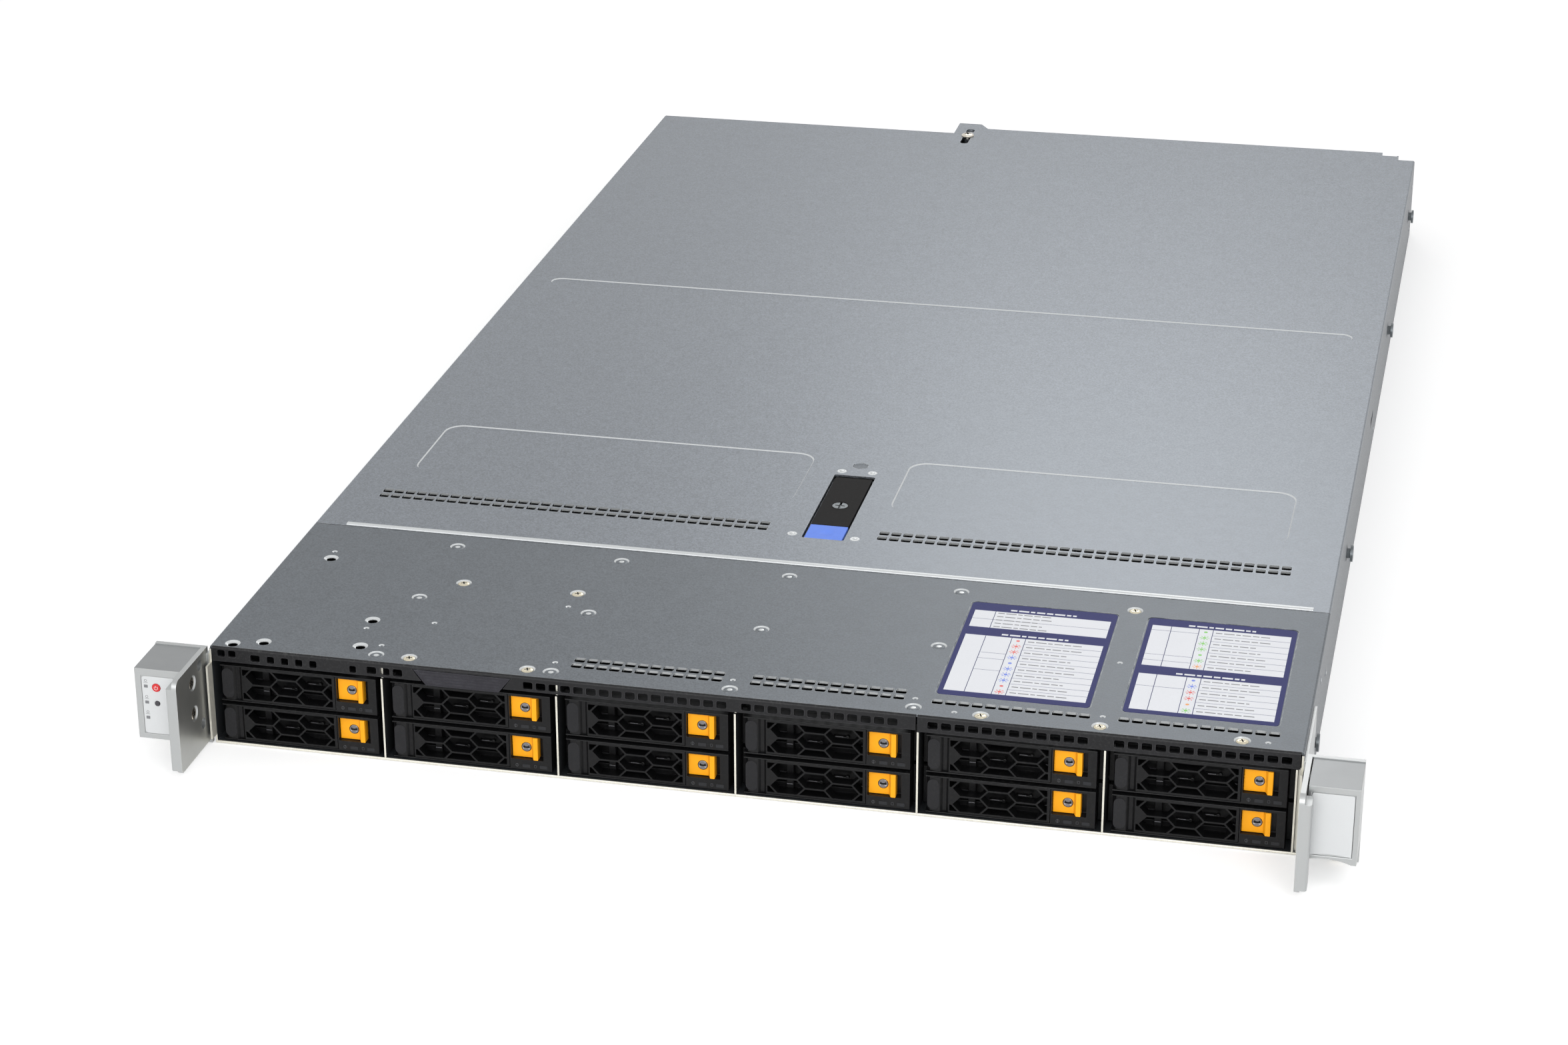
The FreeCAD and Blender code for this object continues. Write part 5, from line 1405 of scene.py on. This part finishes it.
# ---- ears ------------------------------------------------------------------------------
@dataclass
class Ears(Assembly):
    """Rack ears with their side screws, the control box, the plain box and the rack screws."""

    side_screws: tuple = ((-18.0, 34.8), (-18.0, 21.3))
    side_holes: tuple = ((-10.0, 13.1), (-10.0, 39.0))
    plate_gap: float = 1.0                  # body's wall to the ear's side plate
    rack_x: float = 232.55
    rack_z: float = 4.6
    flange: float = 2.0
    lamp_x: float = -236.8
    lamp_z: tuple = (34.9, 27.8, 21.0)
    screw_dish: tuple = (3.5, 2.7)          # mouth and floor radius of a countersink
    panel_inset: tuple = (2.85, 2.45, 2.05, 3.25)   # left, lower, right and upper margin
    plain_inset: tuple = (1.5, 1.8, 2.1, 2.85)
    arch_r: float = 39.0                    # hollow under the plain box's panel
    arch_top: float = 14.65

    def build(self) -> None:
        """Make every piece of both ears."""
        self.ear(-1, "left_ear")
        self.ear(1, "right_ear")
        self.control_box()
        self.plain_box()
        self.screws()

    def ear(self, side: int, node: str) -> None:
        """One ear with two countersunk screws in its side plate; its inner faces take a darker copy of the
        paint as painted shade.

        Args:
            side: minus one on the left, one on the right.
            node: name of the CAD node.
        """
        inner = self.at.half + self.plate_gap
        ear, tools = Forge(), Forge()
        ear.copy_of(node, 0.6, 4)
        for y, z in self.side_screws:
            tools.rod((side * (inner - 0.2), y, z), (side * (inner + 0.6), y, z), *self.screw_dish)
        for y, z in self.side_holes:
            tools.rod((side * (inner - 1.0), y, z), (side * (inner + 3.0), y, z), 2.3)
        ear.cut(tools)
        # Inner faces take the second material: painted shade.
        shade(ear, lambda _, normal: int(side * normal.x < -0.9))
        self.make(ear, f"{node}_casting", "ear_silver", (Paint.EAR, Paint.EAR_INNER_SHADE), node)
        head, heads = phillips_screw(2.45, 0.4), Forge()
        head.turn(Matrix.Rotation(math.radians(-90 * side), 4, "Y"))
        heads.scatter(head, [(side * (inner + 0.55), y, z) for y, z in self.side_screws])
        self.make(heads, f"{node}_screws", "nickel", (Paint.NICKEL, Paint.BLACK_AND_SHADE))

    def housing(self, node: str, name: str, soften: float) -> None:
        """Box of an ear, with its upper face in a darker, slightly rougher copy of its finish as painted
        shade.

        Args:
            node: name of the CAD node.
            name: name of the piece.
            soften: rounding of its edges.
        """
        box = Forge()
        box.copy_of(node, soften, 3)
        shade(box, lambda _, normal: int(normal.z > 0.8))
        self.make(box, name, "silver_box", (Paint.EAR, Paint.EAR_TOP_SHADE), node)

    def control_box(self) -> None:
        """Left box: panel with three lamp windows and two buttons."""
        self.housing("control_box", "control_box_housing", 0.4)
        low, high = node_box("control_box")
        panel, holes = Forge(), Forge()
        left, under, right, over = self.panel_inset
        panel.block((low.x + left, low.y + 0.04, low.z + under), (high.x - right, low.y + 0.5, high.z - over),
                    corner=1.3, axis="y", soften=0.05)
        for node in ("power_button", "second_button"):
            b_low, b_high = node_box(node)
            x, z = (b_low.x + b_high.x) / 2, (b_low.z + b_high.z) / 2
            holes.rod((x, low.y - 1, z), (x, low.y + 1, z), (b_high.x - b_low.x) / 2 + 0.1)
        panel.cut(holes)
        x = self.lamp_x
        for z in self.lamp_z:
            panel.block((x - 0.8, low.y - 0.01, z - 0.65), (x + 0.8, low.y + 0.3, z + 0.65), corner=0.2,
                        axis="y", finish=1)
            panel.ring((x, low.y + 0.02, z + 2.5), FRONTWARD, 0.5, 0.07, 20, finish=2)
            panel.block((x - 0.9, low.y, z + 1.55), (x + 0.9, low.y + 0.2, z + 1.68), finish=2)
        self.make(panel, "control_panel", "silver_box", (Paint.PANEL, Paint.GREY_MARK, Paint.GREY_MARK))
        self.button("power_button", "power", Paint.RED, "red_button")
        self.button("second_button", "second", Paint.DARK_BUTTON, "dark_button")

    def button(self, node: str, body: str, paint: Paint, slot: str) -> None:
        """Domed button; the power button carries the plain ring-and-bar sign.

        Args:
            node: name of the CAD node.
            body: body that it rides on.
            paint: finish of the cap.
            slot: slot of the record.
        """
        low, high = node_box(node)
        x, z = (low.x + high.x) / 2, (low.z + high.z) / 2
        radius = (high.x - low.x) / 2
        cap = Forge()
        cap.lathe([(0.0, 0.0), (radius, 0.0), (radius, 4.75), (radius - 0.12, 4.92), (radius * 0.6, 5.0),
                   (0.0, 5.0)], (x, high.y, z), FRONTWARD, 36)
        if node == "power_button":
            line = 0.09
            section = Matrix.Translation((0.75, 0, 0)) @ Matrix.Rotation(math.pi / 2, 4, "X")
            sign = bmesh.new()
            bmesh.ops.create_circle(sign, cap_ends=True, segments=8, radius=line, matrix=section)
            bmesh.ops.spin(sign, geom=sign.verts[:] + sign.edges[:] + sign.faces[:], cent=ORIGIN, axis=UP,
                           angle=math.radians(290), steps=24)
            bmesh.ops.recalc_face_normals(sign, faces=sign.faces)
            bmesh.ops.transform(sign, verts=sign.verts, matrix=Matrix.Translation((x, low.y, z))
                                @ Matrix.Rotation(math.radians(90), 4, "X")
                                @ Matrix.Rotation(math.radians(125), 4, "Z"))
            cap.take(sign, 1)
            cap.block((x - line, low.y - 0.06, z + 0.1), (x + line, low.y + 0.1, z + 0.95), finish=1)
        self.make(cap, f"{node}_cap", slot, (paint, Paint.MARK), node, body=body)

    def plain_box(self) -> None:
        """Right box with its inset panel and arched underside."""
        self.housing("right_ear_box", "right_box_housing", 0.5)
        low, high = node_box("right_ear_box")
        middle, centre = (low.x + high.x) / 2, self.arch_top - self.arch_r
        panel, arch = Forge(), Forge()
        left, under, right, over = self.plain_inset
        panel.block((low.x + left, low.y + 0.08, self.arch_top - under),
                    (high.x - right, low.y + 0.55, high.z - over), corner=0.9, axis="y", soften=0.05)
        arch.rod((middle, low.y - 1, centre), (middle, low.y + 2, centre), self.arch_r, sides=160)
        panel.cut(arch)
        self.make(panel, "right_box_panel", "silver_box", (Paint.PANEL,))

    def screws(self) -> None:
        """Rack screws below the boxes and the hold-down screw of the cover."""
        pan, made = phillips_screw(4.35, 3.0), Forge()
        pan.turn(Matrix.Rotation(math.radians(90), 4, "X"))
        made.scatter(pan, [(side * self.rack_x, -self.flange, self.rack_z) for side in (-1, 1)])
        turns = [(2.4 if i % 2 else 2.05, 1.0 + 0.4 * i) for i in range(1, 26)]
        for side in (-1, 1):
            made.lathe([(0.0, -2.2), (2.0, -2.2), (2.0, 1.0), (2.35, 1.1), *turns, (1.9, 12.0), (0.0, 12.0)],
                       (side * self.rack_x, 0.0, self.rack_z), (0, 1, 0), 28)
        x, behind = TopCover.hold_down
        top, seat = node_box("screws")[1], self.at.top + 0.45
        y = top.y - behind
        made.scatter(phillips_screw(3.6, top.z - seat), [(x, y, seat)])
        made.rod((x, y, self.at.cover_low - 0.1), (x, y, self.at.top + 0.2), 1.9, sides=20)
        self.make(made, "screws_cross_head", "nickel", (Paint.NICKEL, Paint.BLACK_AND_SHADE), "screws")


# ---- chassis, rear and inside ----------------------------------------------------------
@dataclass
class Shell(Assembly):
    """Chassis, dividers, studs and the small fasteners on the side walls."""

    wall_rivets: tuple = ((84.0, 34.0), (84.0, 9.0), (118.0, 21.0), (262.0, 9.0), (420.0, 9.0), (596.0, 9.0),
                          (728.0, 34.0), (728.0, 9.0))
    floor_x: tuple = (-180.0, -108.0, -36.0, 36.0, 108.0, 180.0)
    floor_y: tuple = (24.0, 112.0, 250.0, 500.0, 720.0)
    rivet: tuple = (1.9, 0.35)              # radius and height

    def build(self) -> None:
        """Dress the chassis and add its small pieces."""
        at = self.at
        base = Forge()
        base.copy_of("chassis_base", 0.12)
        # Front edge faces take the second material, bright cut steel with a painted highlight; the rest takes
        # the darker wall copy as painted shade.
        base.split(at.front - 0.15)
        shade(base, lambda middle, normal: int(middle.y < at.front + 0.4 and (
            abs(middle.x) < at.half - 0.05 or normal.y < -0.5)))
        self.make(base, "chassis_shell", "galvanised", (Paint.ZINC_WALL_SHADE, Paint.BRIGHT_EDGE_AND_HIGHLIGHT), "chassis_base")
        # Divider front faces: bright cut steel with a painted highlight; their other faces painted shade.
        for node, name, paints, slot, width in (
                ("bay_dividers", "bay_divider_sheets", (Paint.SHADED_ZINC, Paint.BRIGHT_EDGE_AND_HIGHLIGHT), "bright_steel",
                 0.1),
                ("rail_studs", "rail_stud_heads", (Paint.LOCK, Paint.LOCK), "nickel", 0.2)):
            made = Forge()
            made.copy_of(node, width)
            shade(made, lambda _, normal: int(normal.y < -0.5))
            self.make(made, name, slot, paints, node)
        self.side_rivets()

    def side_rivets(self) -> None:
        """Flush rivets along both walls and under the floor."""
        at = self.at
        made = Forge()
        for side in (-1, 1):
            rivet = rivet_head(*self.rivet)
            rivet.turn(Matrix.Rotation(math.radians(90 * side), 4, "Y"))
            made.scatter(rivet, [(side * (at.half - 0.02), at.back(y), z) for y, z in self.wall_rivets])
        rivet = rivet_head(*self.rivet)
        rivet.turn(Matrix.Rotation(math.pi, 4, "X"))
        made.scatter(rivet, [(x, at.back(y), 0.33) for x in self.floor_x for y in self.floor_y])
        self.make(made, "shell_rivets", "nickel", (Paint.ZINC, Paint.BRIGHT_METAL_AND_HIGHLIGHT))


@dataclass
class Rear(Assembly):
    """Power supplies, sockets and the perforated panels of the rear."""

    supplies: int = 2
    case_l: float = 200.0
    vent_corner: tuple = (47.0, 4.0)        # first hole of the vent field
    vent_step: tuple = (3.2, 3.7)
    vent_count: tuple = (6, 9)
    vent_r: float = 1.65
    lamp: tuple = (68.0, 35.5)
    screws: tuple = ((3.0, 3.0), (3.0, 36.5), (37.0, 36.5))
    screw_r: float = 1.3
    usb_x: tuple = (0.0, 20.0)
    network_x: tuple = (42.0, 60.0)
    contacts: tuple = (8, 1.02, 0.4)        # count, pitch and width
    video_x: float = 80.0
    slot_pitch: float = 4.0
    slot: tuple = (0.9, 4.0)                # half width and half height of a vent slot
    slot_rows: tuple = ((-31.0, 25, (31.5,)), (84.0, 29, (11.5, 31.5)))

    def build(self) -> None:
        """Make the rear pieces."""
        for number in range(1, self.supplies + 1):
            self.supply(number)
        self.sockets()
        self.panels()

    def supply(self, number: int) -> None:
        """Power supply: vent field, inlet, black loop and coloured release.

        Args:
            number: one or two, from the left.
        """
        node = f"power_supply_{number}"
        low, _ = node_box(node)
        x, z, rear = low.x, low.z, low.y + self.case_l
        made, holes = Forge(), Forge()
        made.copy_of(node, 0.35)
        (across, up), (columns, rows) = self.vent_step, self.vent_count
        for i in range(columns):
            for k in range(rows):
                hx = x + self.vent_corner[0] + across * i
                hz = z + self.vent_corner[1] + up * k + (up / 2 if i % 2 else 0.0)
                holes.rod((hx, rear - 4, hz), (hx, rear + 2, hz), self.vent_r, sides=6)
        made.cut(holes)

        def part(middle: Vector, _: Vector) -> int:
            """Grip and loop stand behind the case; the inlet is sunk into it.

            Args:
                middle: middle of the face.

            Returns:
                Number of the material.
            """
            if middle.y > rear + 0.05:
                return 2 if middle.x > x + 60 else 1
            inlet = x + 5 < middle.x < x + 35 and rear - 20 < middle.y < rear - 0.4
            return 3 if inlet and z + 5 < middle.z < z + 34 else 0

        shade(made, part)
        px, pz = x + self.lamp[0], z + self.lamp[1]
        made.rod((px, rear - 0.2, pz), (px, rear + 0.6, pz), self.screw_r, sides=24, soften=0.3, finish=4)
        for across, up in self.screws:
            px, pz = x + across, z + up
            made.rod((px, rear - 0.2, pz), (px, rear + 0.3, pz), self.screw_r, sides=24, soften=0.2)
        self.make(made, f"{node}_case", "galvanised",
                  (Paint.PSU_CASE, Paint.TRAY, Paint.GREEN_GRIP, Paint.BLACK_AND_SHADE, Paint.DOT_GREEN), node,
                  body=f"psu_{number}")

    def sockets(self) -> None:
        """Socket shells with tongues and contacts."""
        low, high = node_box("rear_sockets")
        made = Forge()
        made.copy_of("rear_sockets", 0.12)
        x0, z0, end = low.x + 1.0, low.z + 1.0, high.y
        for x in (x0 + across for across in self.usb_x):
            made.block((x + 1.0, end - 13.6, z0 + 2.4), (x + 12.2, end - 1.5, z0 + 4.2), soften=0.2, finish=1)
        count, pitch, width = self.contacts
        for left in (x0 + across + 2.2 + i * pitch for across in self.network_x for i in range(count)):
            made.block((left, end - 13.4, z0 + 7.2), (left + width, end - 2.0, z0 + 7.6), finish=2)
        x = x0 + self.video_x
        made.block((x + 0.4, end - 13.6, z0 + 0.3), (x + 16.6, end - 0.4, z0 + 7.7), corner=1.2, axis="y",
                   finish=1)
        self.make(made, "rear_socket_shells", "nickel", (Paint.NICKEL, Paint.SOCKET_BLUE, Paint.GOLD),
                  "rear_sockets")

    def panels(self) -> None:
        """Riser frames and slot covers with their vent slots."""
        rear = node_box("rear_panels")[1].y
        made, slots, slot = Forge(), Forge(), Forge()
        made.copy_of("rear_panels")
        half, tall = self.slot
        slot.block((-half, rear - 6.0, -tall), (half, rear + 1.0, tall), corner=half - 0.02, axis="y")
        slots.scatter(slot, [(x + self.slot_pitch * i, 0.0, z) for x, count, heights in self.slot_rows
                             for i in range(count) for z in heights])
        made.cut(slots)
        self.make(made, "rear_panel_sheets", "bright_steel", (Paint.PSU_CASE,), "rear_panels")


@dataclass
class Inside(Assembly):
    """What the covers hide: boards, coolers, memory and fans."""

    board_top: float = 5.6                  # upper face of the board over the node's lowest point

    def build(self) -> None:
        """Dress the inner pieces."""
        self.dress("drive_backplane", Paint.BOARD)
        self.dress("fans", Paint.TRAY)
        low, _ = node_box("mainboard")
        board = Forge()
        board.copy_of("mainboard")
        top = low.z + self.board_top

        def part(middle: Vector, _: Vector) -> int:
            """Coolers are alloy, memory and sockets are black, stand-offs are alloy.

            Args:
                middle: middle of the face.

            Returns:
                Number of the material.
            """
            if middle.z > top + 0.05:
                return 1 if middle.z < top + 27.2 and middle.y < low.y + 125 else 2
            return int(middle.z < top - 1.7)

        shade(board, part)
        self.make(board, "mainboard_dressed", "board_green", (Paint.BOARD, Paint.ALLOY, Paint.BLACK_AND_SHADE),
                  "mainboard")

    def dress(self, node: str, paint: Paint) -> None:
        """Give a CAD node that keeps its shape a finish.

        Args:
            node: name of the CAD node.
            paint: its finish.
        """
        target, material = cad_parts[node], self.book.get(paint)
        if not target.material_slots:
            target.data.materials.append(material)
        for slot in target.material_slots:
            slot.material = material
        LOG.info("%s keeps its CAD shape in %s", node, material.name)


# ---- studio ----------------------------------------------------------------------------
PALE = 0.42                  # level of the world and of the floor's lift
WHITE = (1.0, 1.0, 1.0, 1.0)


@dataclass(frozen=True)
class View:
    """Camera of the main view, in millimetres and degrees."""

    place: Point = (281.28, -1183.36, 647.65)
    turn: float = 13.9086
    down: float = 23.7747
    roll: float = -0.6727
    lens: float = 80.06
    shift: tuple[float, float] = (0.0493, 0.0089)


@dataclass
class Studio:
    """Floor, soft lamps, pale world and the camera; places in metres."""

    view: View
    lamps: tuple = (
        ("key_softbox", (1.2, -0.9, 1.9), (0.0, 0.2, 0.0), (1.4, 1.4), 12.0),
        ("front_softbox", (0.3, -2.6, 1.15), (0.0, 0.0, 0.0), (3.2, 1.8), 56.0),
        ("fill_softbox", (-1.5, -1.0, 1.2), (0.0, 0.1, 0.0), (1.4, 1.4), 5.0),
        ("rear_softbox", (-0.02, 1.7, 0.92), (0.08, 0.05, 0.0), (0.55, 0.3), 2.2))

    def build(self) -> None:
        """Set up everything round the server."""
        bpy.context.scene.view_settings.view_transform = "Standard"
        self.floor()
        self.world()
        for lamp in self.lamps:
            self.lamp(*lamp)
        self.camera()

    @staticmethod
    def seen(graph: Graph) -> bpy.types.NodeSocket:
        """One for rays that show a surface, zero for those that only light.

        Args:
            graph: graph of the material or world.

        Returns:
            The socket with the value.
        """
        path = graph.add("ShaderNodeLightPath").outputs
        seen = graph.math("MAXIMUM", path["Is Camera Ray"], path["Is Glossy Ray"])
        return graph.math("MAXIMUM", seen, path["Is Transmission Ray"])

    @staticmethod
    def lamp(name: str, place: Point, aim: Point, size: tuple[float, float], power: float) -> None:
        """Soft rectangular lamp that looks at a point.

        Args:
            name: name of the lamp.
            place: where it stands.
            aim: point that it looks at.
            size: width and height.
            power: power in watts.
        """
        light = bpy.data.lights.new(name, "AREA")
        light.shape = "RECTANGLE"
        light.size, light.size_y = size
        light.energy = power
        holder = bpy.data.objects.new(name, light)
        holder.location = place
        holder.rotation_euler = (Vector(aim) - Vector(place)).to_track_quat("-Z", "Y").to_euler()
        bpy.context.scene.collection.objects.link(holder)

    def floor(self) -> None:
        """Plain pale floor that keeps the server's shadow."""
        surface = bmesh.new()
        bmesh.ops.create_grid(surface, x_segments=1, y_segments=1, size=12.0)
        data = bpy.data.meshes.new("studio_floor")
        surface.to_mesh(data)
        surface.free()
        material = bpy.data.materials.new("pale_floor")
        material.use_nodes = True
        graph = Graph(material.node_tree)
        shader = material.node_tree.nodes["Principled BSDF"]
        shader.inputs["Base Color"].default_value = (0.86, 0.86, 0.86, 1.0)
        shader.inputs["Roughness"].default_value = 0.9
        glow = graph.add("ShaderNodeEmission", {"Color": WHITE,
                                                "Strength": graph.math("MULTIPLY", self.seen(graph), PALE)})
        both = graph.add("ShaderNodeAddShader", {0: shader.outputs[0], 1: glow.outputs[0]})
        out = material.node_tree.nodes["Material Output"]
        material.node_tree.links.new(both.outputs[0], out.inputs["Surface"])
        data.materials.append(material)
        floor = bpy.data.objects.new("studio_floor", data)
        floor.location = (0.0, 0.0, -0.0002)
        bpy.context.scene.collection.objects.link(floor)

    def world(self) -> None:
        """White behind the server, softer where it only lights."""
        world = bpy.data.worlds.new("studio_world")
        world.use_nodes = True
        graph = Graph(world.node_tree)
        back = world.node_tree.nodes["Background"]
        strength = graph.ramp(self.seen(graph), 0.0, 1.0, PALE, 1.0)
        world.node_tree.links.new(strength, back.inputs["Strength"])
        back.inputs["Color"].default_value = WHITE
        bpy.context.scene.world = world

    def camera(self) -> None:
        """Camera at the main view."""
        view = self.view
        data = bpy.data.cameras.new("main_camera")
        data.lens = view.lens
        data.sensor_width = 36.0
        data.shift_x, data.shift_y = view.shift
        data.clip_end = 50.0
        turn, down, roll = (math.radians(a) for a in (view.turn, view.down, view.roll))
        forward = Vector((-math.sin(turn) * math.cos(down), math.cos(turn) * math.cos(down), -math.sin(down)))
        right = Vector((math.cos(turn), math.sin(turn), 0.0))
        up = right.cross(forward)
        across = math.cos(roll) * right + math.sin(roll) * up
        above = -math.sin(roll) * right + math.cos(roll) * up
        holder = bpy.data.objects.new("main_camera", data)
        basis = Matrix((across, above, -forward)).transposed().to_4x4()
        holder.matrix_world = Matrix.Translation(Vector(view.place) * MM) @ basis
        bpy.context.scene.collection.objects.link(holder)
        bpy.context.scene.camera = holder


def main() -> None:
    """Build every sub-assembly in order."""
    logging.basicConfig(level=logging.INFO, format="%(name)s: %(message)s")
    book, at = Finishes(), Layout.read()
    parts = [kind(book, at) for kind in (Shell, FrontCover, TopCover, CoverLatch, FrontTrim, DriveTrays, Ears,
                                         Rear, Inside)]
    for part in (*parts, Studio(View())):
        part.build()
        LOG.info("%s is done", type(part).__name__)


if __name__ == "__main__":
    main()
